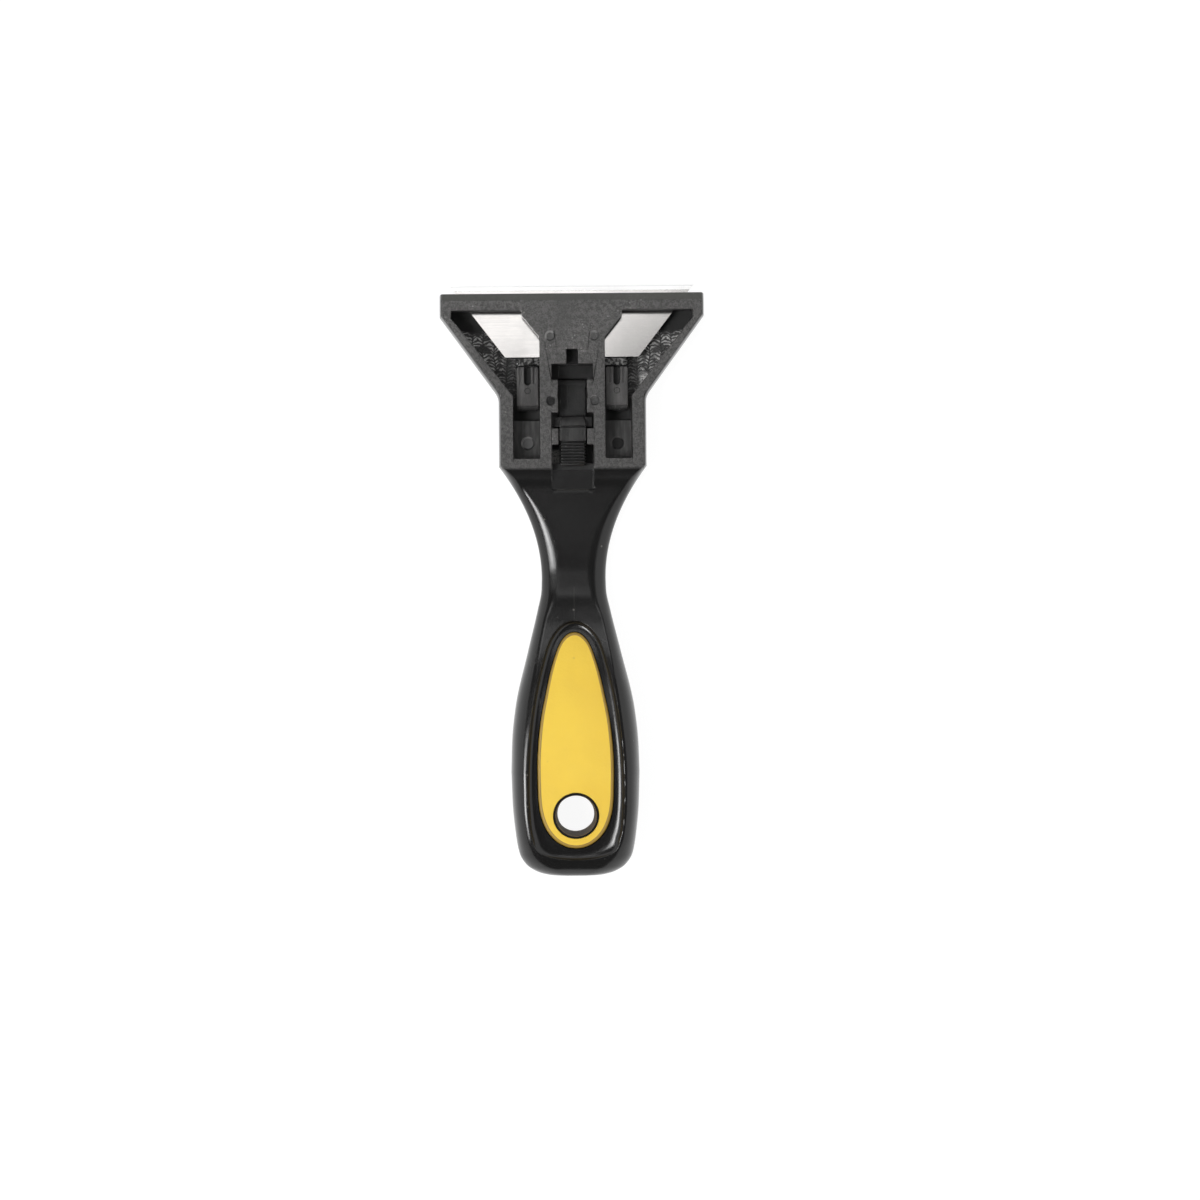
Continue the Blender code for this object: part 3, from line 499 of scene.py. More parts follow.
def half_body(side, gap, quarter_steps, flat_steps):
    """One half of the body: a grid rolled into a tube whose flat side is the seam."""
    rows = stations()
    half_count = quarter_steps + flat_steps
    columns = 2 * half_count + 1
    bm = bmesh.new()
    bmesh.ops.create_grid(bm, x_segments=columns + 1, y_segments=len(rows) - 1, size=1)
    for vert in bm.verts:
        column = round((vert.co.x + 1) / 2 * (columns + 1)) % (columns + 1)
        y, size = rows[round((vert.co.y + 1) / 2 * (len(rows) - 1))]
        turn = 1 if column <= half_count else -1
        step = column if turn > 0 else columns - column
        row = max(y, END_Y + CAP_DOME)
        flat, middle = facet_half(row) * size, middle_z(row)
        rise = abs(side_z(row, side) - middle) * size
        if step <= quarter_steps:
            angle = math.pi / 2 * step / quarter_steps
            x = flat + (half_width(row) * size - flat) * math.cos(angle)
            rise *= math.sin(angle)
        else:
            x = flat * (1 - ((step - quarter_steps) / flat_steps) ** FLAT_SPREAD)
        rise = max(gap / 2, rise + scoop_drop(x, y))
        vert.co = (turn * x, y, middle + side * rise)
    bmesh.ops.remove_doubles(bm, verts=bm.verts, dist=MM / 1000)
    refine_ridge(bm, side, gap)
    bmesh.ops.edgeloop_fill(bm, edges=[e for e in bm.edges if e.is_boundary])
    bmesh.ops.recalc_face_normals(bm, faces=bm.faces)
    return bm


def refine_ridge(bm, side, gap):
    """Gives the ridge round the scoop faces small enough for its tight rounding."""
    for _ in range(2):
        shares = {}
        for vert in bm.verts:
            x, y, z = vert.co
            on_skin = side * (z - middle_z(y)) > MM and near_scoop(y)
            shares[vert] = scoop_share(abs(x), y) if on_skin else 0.0
        near = [
            e for e in bm.edges
            if e.calc_length() > RIDGE_FACE and any(abs(shares[v] - 1) < RIDGE_BAND for v in e.verts)
            and all(shares[v] > 0 for v in e.verts)]
        made = bmesh.ops.subdivide_edges(bm, edges=near, cuts=1, use_grid_fill=True)["geom_inner"]
        for vert in made:
            if isinstance(vert, bmesh.types.BMVert):
                vert.co.z = skin_z(vert.co.x, vert.co.y, side, gap)


def slab(outline, low, high, corner=0.0):
    """Upright block with an (x, y) outline and rounded upright corners."""
    bm = bmesh.new()
    face = bm.faces.new([bm.verts.new((x, y, low)) for x, y in outline])
    raised = bmesh.ops.extrude_face_region(bm, geom=[face])["geom"]
    verts = [v for v in raised if isinstance(v, bmesh.types.BMVert)]
    bmesh.ops.translate(bm, vec=(0, 0, high - low), verts=verts)
    if corner > 0:
        upright = [e for e in bm.edges if abs(e.verts[0].co.z - e.verts[1].co.z) > RUN / 3]
        bmesh.ops.bevel(
            bm, geom=upright, offset=corner, affect="EDGES", segments=3, profile=0.5, material=-1)
    bmesh.ops.recalc_face_normals(bm, faces=bm.faces)
    return bm


def side_slab(profile, left, right):
    """Block with a (y, z) side view from one x to another."""
    bm = slab(profile, left, right)
    turn = Matrix(((0, 0, 1), (1, 0, 0), (0, 1, 0)))
    bmesh.ops.transform(bm, matrix=turn.to_4x4(), verts=bm.verts)
    return bm


def rectangle(x0, x1, y0, y1):
    return [(x0, y0), (x1, y0), (x1, y1), (x0, y1)]


def box_slab(x0, x1, y0, y1, z0, z1, corner=0.0):
    return slab(rectangle(x0, x1, y0, y1), z0, z1, corner)


def middle_slab(half, y0, y1, z0, z1, corner=0.0):
    """Box that reaches as far to the left of the tool's middle as to the right."""
    return box_slab(-half, half, y0, y1, z0, z1, corner)


def post(x, y, radius, low, high, steps=POST_STEPS, low_radius=None):
    """Upright post; one with a radius of its own at its low end is a cone."""
    bm = bmesh.new()
    bmesh.ops.create_cone(
        bm, cap_ends=True, segments=steps, radius1=low_radius or radius, radius2=radius, depth=high - low,
        matrix=Matrix.Translation((x, y, (low + high) / 2)))
    return bm


def mirrored(outline):
    """Closes an outline of the +X half, listed from one end to the other, with its mirror image."""
    return outline + [(-x, y) for x, y in outline[::-1] if x > 0]


def carve(thing, cutters, operation="DIFFERENCE"):
    """Cuts shapes out of a piece, or joins them to it, and takes the shapes away."""
    first = place(cutters[0], thing.name + "_cut")
    for bm in cutters[1:]:
        combine(first, place(bm, thing.name + "_more"), "UNION")
    combine(thing, first, operation)


def combine(thing, helper, operation):
    """Applies one shape to a piece and takes the shape away."""
    step = thing.modifiers.new(helper.name, "BOOLEAN")
    step.operation = operation
    step.solver = "EXACT"
    step.object = helper
    settle(thing)
    mesh = helper.data
    bpy.data.objects.remove(helper)
    bpy.data.meshes.remove(mesh)


def settle(thing):
    """Makes a piece's modifiers part of its mesh."""
    graph = bpy.context.evaluated_depsgraph_get()
    mesh = bpy.data.meshes.new_from_object(thing.evaluated_get(graph))
    old = thing.data
    thing.modifiers.clear()
    thing.data = mesh
    mesh.name = thing.name
    if old.users == 0:
        bpy.data.meshes.remove(old)


def merged(thing, reach):
    """A bmesh of a piece without the points and edges that are closer than a reach."""
    bm = bmesh.new()
    bm.from_mesh(thing.data)
    bmesh.ops.remove_doubles(bm, verts=bm.verts, dist=reach)
    bmesh.ops.dissolve_degenerate(bm, edges=bm.edges, dist=reach)
    return bm


def tidy_mesh(thing):
    """Merges the small leftovers of cutting."""
    bm = merged(thing, MM / 200)
    bm.to_mesh(thing.data)
    bm.free()


def soften(thing, width, low_y=END_Y - OVER):
    """Rounds a piece's sharp edges; low_y leaves out those nearer to the handle's end."""
    bm = merged(thing, MM / 100)
    bmesh.ops.triangulate(bm, faces=[f for f in bm.faces if len(f.verts) > 4])
    sharp = [
        e for e in bm.edges
        if len(e.link_faces) == 2 and e.calc_face_angle() > math.radians(SOFT_DEGREES)
        and min(v.co.y for v in e.verts) > low_y]
    bmesh.ops.bevel(
        bm, geom=sharp, offset=width, offset_type="OFFSET", affect="EDGES", segments=2,
        profile=0.5, material=-1, clamp_overlap=False)
    bm.to_mesh(thing.data)
    bm.free()


def shade(thing):
    """Smooth shading with sharp edges kept and flat faces flat."""
    thing.data.shade_smooth()
    thing.data.set_sharp_from_angle(angle=math.radians(SHARP_DEGREES))
    weigh = thing.modifiers.new("flat faces", "WEIGHTED_NORMAL")
    weigh.keep_sharp = True
    weigh.weight = 80


def taken(thing):
    """The mesh of a helper piece, which is taken away."""
    bm = bmesh.new()
    bm.from_mesh(thing.data)
    bpy.data.objects.remove(thing)
    return bm


def finish_piece(thing, body, material, node):
    """Cleans and shades a piece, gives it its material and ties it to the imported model."""
    tidy_mesh(thing)
    shade(thing)
    thing.data.materials.clear()
    thing.data.materials.append(material)
    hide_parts(node)
    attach(thing, body)


# Node helpers

class Value:
    """What a node puts out. Sums, differences, products and quotients of it add the nodes for them."""

    def __init__(self, socket):
        self.socket = socket

    def __add__(self, other):
        return maths("ADD", self, other)

    def __sub__(self, other):
        return maths("SUBTRACT", self, other)

    def __rsub__(self, other):
        return maths("SUBTRACT", other, self)

    def __mul__(self, other):
        return maths("MULTIPLY", self, other)

    def __truediv__(self, other):
        return maths("DIVIDE", self, other)

    def __abs__(self):
        return maths("ABSOLUTE", self)


def feed(socket, value):
    """Links a node's value to a socket, or sets the socket to a plain number, place or colour."""
    if isinstance(value, Value):
        socket.id_data.links.new(value.socket, socket)
    else:
        socket.default_value = value


def add(tree, kind, inputs=None, **settings):
    """Adds a node with its settings and inputs."""
    node = tree.nodes.new(kind)
    for name, value in settings.items():
        setattr(node, name, value)
    for name, value in (inputs or {}).items():
        feed(node.inputs[name], value)
    return node


def add_beside(kind, inputs, **settings):
    """Adds a node to the tree of the values that feed it."""
    tree = next(v.socket.id_data for v in inputs.values() if isinstance(v, Value))
    return add(tree, kind, inputs, **settings)


def made(kind, output, inputs, **settings):
    """Adds a node beside its values and hands on one of its outputs."""
    return Value(add_beside(kind, inputs, **settings).outputs[output])


def outputs(node):
    return {socket.name: Value(socket) for socket in node.outputs}


def maths(operation, *terms, clamp=False):
    return made("ShaderNodeMath", 0, dict(enumerate(terms)), operation=operation, use_clamp=clamp)


def largest(first, *others):
    for other in others:
        first = maths("MAXIMUM", first, other)
    return first


def ramp(value, low, high, out_low=0.0, out_high=1.0, kind="SMOOTHSTEP"):
    """Steps a value over from one number to another, smoothly unless told otherwise."""
    return made(
        "ShaderNodeMapRange", "Result",
        {"Value": value, "From Min": low, "From Max": high, "To Min": out_low, "To Max": out_high},
        interpolation_type=kind)


def blend(share, first, second, mode="MIX"):
    return made(
        "ShaderNodeMix", 2, {0: share, 6: first, 7: second}, data_type="RGBA", blend_type=mode)


def layered(colour, *layers):
    """Lays colours over one another, each by its mask."""
    for mask, over in layers:
        colour = blend(mask, colour, over)
    return colour


def tinted(colour, *shares):
    """A plain colour made darker or lighter, by one share or by one for each channel."""
    return tuple(channel * share for channel, share in zip(colour[:3], shares * 3)) + (1,)


def toned(colour, tone):
    """A colour made darker or lighter by a node's value."""
    return blend(1.0, colour, grey(tone), "MULTIPLY")


def grey(tone):
    return joined(tone, tone, tone)


def joined(*axes):
    return made("ShaderNodeCombineXYZ", 0, dict(enumerate(axes)))


def split(spot):
    return list(outputs(add_beside("ShaderNodeSeparateXYZ", {0: spot})).values())


def stretched(spot, scale, angle=0.0):
    """Places for marks that run along one direction."""
    return made("ShaderNodeMapping", 0, {"Vector": spot, "Rotation": (0, 0, angle), "Scale": scale})


def noise(spot, scale, detail, roughness=0.5):
    return made(
        "ShaderNodeTexNoise", "Fac",
        {"Vector": spot, "Scale": scale, "Detail": detail, "Roughness": roughness})


def scattered(spot, per_metre, channel, rarity, far, near):
    """Mask of scattered specks, in those cells only whose own random number is over the rarity."""
    cells = outputs(add_beside("ShaderNodeTexVoronoi", {"Vector": spot, "Scale": per_metre}))
    chance = made("ShaderNodeSeparateColor", channel, {"Color": cells["Color"]})
    return ramp(cells["Distance"], far, near) * maths("GREATER_THAN", chance, rarity)


def bump(height, distance, strength=1.0, normal=None):
    inputs = {"Height": height, "Distance": distance, "Strength": strength}
    if normal is not None:
        inputs["Normal"] = normal
    return made("ShaderNodeBump", "Normal", inputs)


def shared_effect(name, inputs, results):
    """Turns a function into a node group, built once: places (None) and numbers in, values out."""
    def wrap(build):
        def use(given):
            tree = bpy.data.node_groups.get(name) or bpy.data.node_groups.new(name, "ShaderNodeTree")
            if not tree.nodes:
                for label, default in inputs.items():
                    kind = "NodeSocketVector" if default is None else "NodeSocketFloat"
                    socket = tree.interface.new_socket(label, in_out="INPUT", socket_type=kind)
                    if default is not None:
                        socket.default_value = default
                for label in results:
                    tree.interface.new_socket(label, in_out="OUTPUT", socket_type="NodeSocketFloat")
                source = outputs(add(tree, "NodeGroupInput"))
                sink = add(tree, "NodeGroupOutput").inputs
                for label, value in zip(results, build(source)):
                    feed(sink[label], value)
            return outputs(add_beside("ShaderNodeGroup", given, node_tree=tree))
        return use
    return wrap


# Shared effects

@shared_effect("Moulded grain", {"Vector": None, "Grains per metre": 3000.0}, ("Height", "Tone"))
def moulded_grain(source):
    """Fine spark-eroded grain: a height, and a tone that is lighter on the grain's tips."""
    spot, grains = source["Vector"], source["Grains per metre"]
    fine, coarse = noise(spot, grains, 3.0, 0.6), noise(spot, grains * 0.23, 2.0)
    pits = made("ShaderNodeTexVoronoi", "Distance", {"Vector": spot, "Scale": grains * 0.5})
    height = fine + coarse * 0.7 + pits * 0.35
    return height, ramp(height, 0.9, 1.16)


@shared_effect(
    "Handling marks", {"Vector": None, "Scratches per metre": 90.0, "Specks per metre": 420.0},
    ("Scratches", "Specks", "Smudge"))
def handling_marks(source):
    """Sparse hairline scratches, dust specks and smudges from use."""
    spot, density = source["Vector"], source["Scratches per metre"]
    scratches = []
    for angle, stretch in ((0.5, 0.014), (-0.9, 0.012), (1.45, 0.016)):
        turned = stretched(spot, (1, stretch, 1), angle)
        line = abs(noise(turned, density * 9.0, 1.0, 0.4) - 0.5)
        patch = noise(turned, density * 2.3, 1.0)
        scratches.append(ramp(line, 0.012, 0.0) * ramp(patch, 0.6, 0.68))
    specks = scattered(spot, source["Specks per metre"], "Red", 0.9, 0.16, 0.06)
    return largest(*scratches), specks, ramp(noise(spot, density * 0.9, 4.0, 0.6), 0.38, 0.66)


@shared_effect(
    "Cutter marks", {"Across": 0.0, "Along": 0.0, "Row width": 0.003, "Pitch": 0.0007},
    ("Height", "Bright"))
def cutter_marks(source):
    """Rows of overlapping crescents that a small milling cutter leaves in a mould's floor: their height,
    and a mask for a painted highlight on them.
    """
    spot = joined(source["Across"], source["Along"])
    rows = source["Across"] / source["Row width"] + noise(spot, 200.0, 1.0) * 0.55
    row = maths("FLOOR", rows)
    share = rows - row - 0.5
    square = share * share
    phase = source["Along"] / source["Pitch"] + square * 3.6 + noise(spot, 900.0, 2.0) * 1.7 + row * 0.37
    slope = abs((phase - maths("FLOOR", phase)) * 2.0 - 1.0)
    patch = ramp(noise(spot, 420.0, 2.0), 0.4, 0.58, 0.05, 1.0)
    # Painted highlight on the crescents' flanks, in patches
    painted_highlight = ramp(slope, 0.3, 0.9) * patch * ramp(square, 0.24, 0.15)
    return maths("POWER", slope, 3.0) + square * 2.0, painted_highlight


@shared_effect(
    "Round mark", {"Vector": None, "Centre": None, "Radius": 0.001, "Ring": 0.0002},
    ("Disc", "Ring", "Side"))
def round_mark(source):
    """Mask of a disc round a place, seen along Z, of the ring at its border, and the lit side."""
    away = made(
        "ShaderNodeVectorMath", 0, {0: source["Vector"], 1: source["Centre"]}, operation="SUBTRACT")
    x, y, _ = split(away)
    beyond = (maths("SQRT", x * x + y * y) - source["Radius"]) / source["Ring"]
    return ramp(beyond, 0.35, -0.35), ramp(abs(beyond), 1.0, 0.3), (x - y) / source["Radius"]


@shared_effect("Zone", {"Vector": None, "Low": None, "High": None, "Border": 0.0003}, ("Mask",))
def zone(source):
    """Mask of a box in the object's own places, with soft borders."""
    sides = []
    for here, low, high in zip(*(split(source[name]) for name in ("Vector", "Low", "High"))):
        for depth in (here - low, high - here):
            sides.append(maths("ADD", depth / source["Border"], 0.5, clamp=True))
    return [math.prod(sides[1:], start=sides[0])]


def box_mask(spot, low, high, border=0.0003):
    return zone({"Vector": spot, "Low": low, "High": high, "Border": border})["Mask"]


# Materials

def new_material(name):
    """A material with its shader and the place on the object; one of that name is made anew."""
    material = bpy.data.materials.get(name) or bpy.data.materials.new(name)
    material.use_nodes = True
    tree = material.node_tree
    tree.nodes.clear()
    shader = add(tree, "ShaderNodeBsdfPrincipled")
    add(tree, "ShaderNodeOutputMaterial", {"Surface": Value(shader.outputs["BSDF"])})
    return material, shader, outputs(add(tree, "ShaderNodeTexCoord"))["Object"]


def dress(shader, colour, rough, normal):
    for name, value in (("Base Color", colour), ("Roughness", rough), ("Normal", normal)):
        feed(shader.inputs[name], value)


def housing_material():
    """Black plastic: polished handle, spark-grained head, cutter marks on the chamber floor, and painted
    light and shade in the head.
    """
    colours = bpy.context.scene.scraper_colours
    material, shader, spot = new_material("housing plastic")
    x, y, z = split(spot)
    side_x = abs(x)
    folded = joined(side_x, y, z)
    grain = moulded_grain({"Vector": spot, "Grains per metre": 4200.0})
    marks = handling_marks({"Vector": spot})
    cloud = noise(spot, 110.0, 3.0)
    head = ramp(y, SHOULDER_Y - 1.3 * MM, SHOULDER_Y - 0.2 * MM)
    outer = largest(ramp(z, BRIDGE_Z, HEAD_THICKNESS - 0.8 * MM), ramp(z, 2.2 * MM, MM))
    past_flare = side_x - ramp(y, BEND_Y, FLARE_Y, SHANK_HALF, HEAD_HALF, "LINEAR")
    flank = ramp(past_flare, -1.6 * MM, -1.2 * MM)
    matte = head * outer * (1.0 - ramp(past_flare, -0.82 * MM, -0.62 * MM))
    inside = head * (1.0 - largest(outer, flank))

    # Spark-grained faces: light and dark specks, with paler flecks in patches
    frame_colour = colours.matte_plastic
    fleck = scattered(spot, 1500.0, "Green", 0.8, 0.42, 0.15) * ramp(cloud, 0.42, 0.62)
    band = head * (ramp(y, NOSE_Y - NOSE_STEP - 0.1 * MM, NOSE_Y - NOSE_STEP) * outer)
    flow = box_mask(
        spot, (-3.8 * MM, WINDOW_TOP_Y - 6 * MM, BRIDGE_Z),
        (-0.4 * MM, NOSE_Y, HEAD_THICKNESS + MM), 0.0025)
    frame = layered(
        blend(grain["Tone"], tinted(frame_colour, 0.66), tinted(frame_colour, 1.5)),
        (fleck * (ramp(y, LUG_Y, WINDOW_TOP_Y) * 0.5), (0.3, 0.295, 0.29, 1)),
        (fleck * 0.4, (0.2, 0.195, 0.19, 1)),
        (band * 0.85, (0.056, 0.057, 0.05, 1)),
        (flow * 0.6, tinted(frame_colour, 0.86)))
    # Painted shade: the frame darkens from near the top of the head down to the latch's pivot and stays
    # darker below it
    frame = toned(frame, ramp(y, PIVOT_Y, WINDOW_TOP_Y - 6 * MM, 0.71, 0.94))
    colour = toned(blend(matte, tuple(colours.gloss_plastic), frame), cloud * 0.4 + 0.8)

    # Inside the head: walls painted near-black for shade, a painted shadow on part of the floor, cutter
    # marks with painted highlights and a painted glare patch on the floor, plain channel floors behind
    low_z, high_z = FLOOR_Z - MM, FLOOR_Z + 0.2 * MM
    floor = box_mask(
        folded, (14.3 * MM, BEND_Y, low_z), (40 * MM, WINDOW_TOP_Y - 4.6 * MM, high_z), 0.0008)
    shadow = box_mask(
        folded, (17.3 * MM, BEND_Y, low_z), (19.6 * MM, BEND_Y + 7.2 * MM, high_z), 0.0006)
    floor = floor * (1.0 - flank) * (1.0 - shadow * ramp(x, MM, -MM, 0.3, 0.9))
    swirl = cutter_marks({"Across": side_x, "Along": y, "Row width": 0.0029, "Pitch": 0.00085})
    glare = box_mask(
        spot, (17.2 * MM, BEND_Y + MM, low_z), (19.3 * MM, BEND_Y + 6 * MM, high_z), 0.0016)
    channel = box_mask(
        folded, (8.0 * MM, WINDOW_END_Y, CHANNEL_Z - 0.3 * MM),
        (CHANNEL_OUTER + RUN, CHANNEL_TOP_Y + RUN, CHANNEL_Z + 0.2 * MM))
    streak = ramp(noise(stretched(spot, (1, 0.15, 1)), 1100.0, 2.0), 0.35, 0.7)
    # Painted shade on the walls, painted highlights on the crescents and on the glare patch
    colour = layered(
        colour,
        (inside, (0.005, 0.005, 0.005, 1)),
        (floor * 0.9, (0.05, 0.049, 0.048, 1)),
        (swirl["Bright"] * floor * ramp(side_x, 17 * MM, 18 * MM, 0.35, 1.0), (0.85, 0.84, 0.83, 1)),
        (glare * (1.0 - flank) * ramp(grain["Height"], 0.8, 1.1), (0.7, 0.69, 0.68, 1)),
        (channel, blend(streak, (0.03, 0.0295, 0.029, 1), (0.056, 0.055, 0.054, 1))))

    # Ejector marks: discs painted dark for the shade in dimpled ones and lighter where raised glossy ones
    # catch the light, rims with painted shade on one side and a painted glint on the other
    bridge = (BRIDGE_EJECTOR_X, BRIDGE_EJECTOR_RADIUS)
    behind = (CHANNEL_EJECTOR_X, CHANNEL_EJECTOR_RADIUS)
    above_blade = ramp(z, PLATE_TOP_Z - 0.6 * MM, PLATE_TOP_Z - 0.5 * MM)
    dulled = []
    for side, (out_x, radius), mark_y, share, tint, glint in (
            (-1, bridge, UPPER_EJECTOR_Y, 0.55, 0.035, 0.8),
            (1, bridge, UPPER_EJECTOR_Y, 0.35, 0.055, 0.5),
            (-1, bridge, LOWER_EJECTOR_Y, 0.95, 0.008, 0.1),
            (1, bridge, LOWER_EJECTOR_Y, 0.6, 0.03, 0.35),
            (-1, behind, CHANNEL_EJECTOR_Y, 0.85, 0.11, 0.8),
            (1, behind, CHANNEL_EJECTOR_Y, 0.8, 0.012, 0.3)):
        mark = round_mark({
            "Vector": spot, "Centre": (side * out_x, mark_y, 0), "Radius": radius, "Ring": 0.0003})
        disc, rim = mark["Disc"] * above_blade * share, mark["Ring"] * above_blade
        colour = layered(
            colour,
            (disc, (tint, tint, tint, 1)),
            (rim * ramp(mark["Side"], -0.9, 0.4, 0.2, 0.9), (0.01, 0.01, 0.01, 1)),
            (rim * ramp(mark["Side"], 0.5, -0.9) * glint, (0.3, 0.295, 0.29, 1)))
        if tint < 0.02:
            dulled.append(disc)

    # The hole's wall is painted brownish for the inlay's yellow light bounced onto it, the left notch's
    # floor is painted lighter for the light that falls on it, and the slot's end gets a painted highlight
    # line; dust and hairlines lie over everything
    bore = round_mark({
        "Vector": spot, "Centre": (0, HOLE_Y, 0), "Radius": HOLE_RADIUS + 0.06 * MM,
        "Ring": 0.00005})["Disc"]
    seam = box_mask(
        spot, (-0.07 * MM, NECK_Y - 10.3 * MM, NECK_THICKNESS - MM),
        (0.07 * MM, NECK_Y - 2.2 * MM, NECK_THICKNESS + 3 * MM), 0.00006)
    painted_notch_light = box_mask(
        spot, (-NOTCH_HALF - RUN, SHOULDER_Y - RUN, WELL_Z - 0.3 * MM),
        (-FINGER_HALF, LUG_Y - 7 * MM, WELL_Z + 0.3 * MM), 0.0006)
    slot_end_highlight = box_mask(
        spot, (-4.2 * MM, ROLL_Y - 0.14 * MM, NECK_THICKNESS - MM),
        (4.0 * MM, ROLL_Y + 0.06 * MM, NECK_THICKNESS + MM), 0.0001)
    hairlines = marks["Scratches"] * ramp(y, NECK_Y - 6 * MM, NECK_Y - 12 * MM)
    colour = layered(
        colour,
        (bore, (0.085, 0.052, 0.014, 1)),
        (seam * 0.5, (0.04, 0.039, 0.038, 1)),
        (painted_notch_light * 0.9, blend(grain["Tone"], (0.08, 0.078, 0.075, 1), (0.24, 0.235, 0.225, 1))),
        (slot_end_highlight * 0.7, (0.06, 0.058, 0.048, 1)),
        (hairlines * 0.15, (0.16, 0.155, 0.15, 1)),
        (marks["Specks"] * 0.35, (0.25, 0.24, 0.22, 1)))

    rough = matte * 0.32 + 0.18 + inside * 0.37 + marks["Smudge"] * 0.04 + cloud * 0.04
    rough = rough + sum(dulled[1:], start=dulled[0]) * 0.35 + bore * 0.45 + channel * 0.1
    normal = bump(grain["Height"] * (matte * 0.9 + 0.05), 0.00009, 0.9)
    normal = bump(swirl["Height"] * floor + cloud * 0.3, 0.0002, 1.0, normal)
    dress(shader, colour, rough, bump(hairlines, 0.00003, 0.4, normal))
    return material


def inlay_material():
    """Soft yellow rubber with a satin skin, with painted shade along its rounded border."""
    base = bpy.context.scene.scraper_colours.rubber
    material, shader, spot = new_material("grip inlay rubber")
    grain = moulded_grain({"Vector": spot, "Grains per metre": 1900.0})
    marks = handling_marks({"Vector": spot, "Specks per metre": 300.0})
    cloud = noise(spot, 45.0, 3.0)
    border = outputs(add(material.node_tree, "ShaderNodeAttribute", attribute_name="border"))["Fac"]
    # Painted shade along the rounded border, with a darker painted line part-way in
    rim = largest(ramp(border, 0.3, 0.45) * 0.8, ramp(abs(border - 0.4), 0.12, 0.03))
    colour = layered(
        blend(ramp(cloud, 0.35, 0.7), tuple(base), tinted(base, 0.94, 0.91, 0.85)),
        (marks["Smudge"] * 0.1, (0.6, 0.4, 0.06, 1)),
        (marks["Specks"] * 0.25, (0.35, 0.24, 0.06, 1)),
        (rim, (0.25, 0.145, 0.03, 1)))
    rough = marks["Smudge"] * 0.1 + 0.46 + grain["Tone"] * 0.05
    dress(shader, colour, rough, bump(cloud, 0.0003, 0.3, bump(grain["Height"], 0.00005, 0.6)))
    return material


def steel_material():
    """Ground blade steel: drawn lines across the blade, finer and brighter on the ground edge."""
    steel = tuple(bpy.context.scene.scraper_colours.steel)
    material, shader, spot = new_material("blade steel")
    y = split(spot)[1]
    drawn = noise(stretched(spot, (60, 2600, 1)), 1.0, 4.0, 0.7)
    ground = noise(stretched(spot, (6000, 90, 1)), 1.0, 2.0)
    bevel = ramp(y, EDGE_Y - 1.3 * MM, EDGE_Y - 1.15 * MM)
    tip = ramp(y, EDGE_Y - 0.3 * MM, EDGE_Y - 0.1 * MM)
    marks = handling_marks({"Vector": spot, "Scratches per metre": 60.0})
    colour = layered(
        blend(ramp(noise(spot, 60.0, 4.0), 0.35, 0.75), steel, (0.82, 0.8, 0.785, 1)),
        (ramp(drawn, 0.35, 0.75) * 0.12, (0.68, 0.67, 0.66, 1)),
        (bevel * 0.8, (0.95, 0.95, 0.95, 1)),
        (tip * 0.6, (0.62, 0.63, 0.64, 1)),
        (marks["Scratches"] * 0.3, (0.45, 0.44, 0.43, 1)))
    rough = drawn * 0.07 + 0.1 + marks["Smudge"] * 0.04 + bevel * 0.15
    dress(shader, colour, rough, bump(drawn + (ground - drawn) * bevel, 0.00001, 0.3))
    shader.inputs["Metallic"].default_value = 1.0
    return material


def carriage_material():
    """Black sliding plastic: satin feet whose lower faces are painted near-black for shade, painted
    glints on the lip, and a darker latch finger with a black pad.
    """
    base = bpy.context.scene.scraper_colours.carriage_plastic
    material, shader, spot = new_material("carriage plastic")
    x, y, z = split(spot)
    side_x = abs(x)
    grain = moulded_grain({"Vector": spot, "Grains per metre": 2200.0})
    marks = handling_marks({"Vector": spot, "Scratches per metre": 160.0, "Specks per metre": 600.0})
    streak = noise(stretched(spot, (1, 0.25, 1)), 500.0, 3.0)
    foot = blend(ramp(streak, 0.35, 0.7), tinted(base, 0.8), tinted(base, 1.35))
    # The feet's tops keep the carriage colour; every lower face is painted near-black for shade
    unshaded_top = ramp(z, FOOT_TOP_Z - 0.5 * MM, FOOT_TOP_Z - 0.1 * MM) * ramp(side_x, 8 * MM, 8.4 * MM)
    finger = ramp(side_x, 5.3 * MM, 5.1 * MM)
    block = finger * ramp(z, LUG_TOP_Z - 0.6 * MM, LUG_TOP_Z + 0.4 * MM)
    block = block * ramp(side_x, FINGER_HALF + 0.4 * MM, FINGER_HALF + 0.1 * MM)
    pad = finger * ramp(y, PAD_Y + 0.1 * MM, PAD_Y - 0.2 * MM)
    lip = ramp(y, FOOT_FRONT_Y, LIP_Y) * ramp(z, PLATE_TOP_Z, LIP_TOP_Z - RUN)
    lip = lip * ramp(side_x, BRIDGE_HALF - MM, BRIDGE_HALF - RUN)
    # Painted glints in patches on the lip behind the blade
    colour = layered(
        blend(unshaded_top, (0.007, 0.007, 0.007, 1), foot),
        (block, blend(ramp(streak, 0.4, 0.65), (0.011, 0.0108, 0.0105, 1), (0.023, 0.0225, 0.022, 1))),
        (pad * 0.9, (0.007, 0.007, 0.007, 1)),
        (lip * ramp(noise(spot, 1300.0, 2.0), 0.42, 0.66), (0.17, 0.168, 0.165, 1)),
        (marks["Scratches"] * 0.45, (0.2, 0.2, 0.19, 1)),
        (marks["Specks"] * 0.4, (0.3, 0.3, 0.29, 1)))
    deep = ramp(z, 6.5 * MM, 6.2 * MM) * (1.0 - lip)
    rough = 0.42 - marks["Smudge"] * 0.14 - lip * 0.2 + deep * 0.4
    normal = bump(grain["Height"], 0.00006, 0.7)
    dress(shader, colour, rough, bump(streak * (lip + 0.6), 0.0002, 0.7, normal))
    return material


# Shapes of the housing

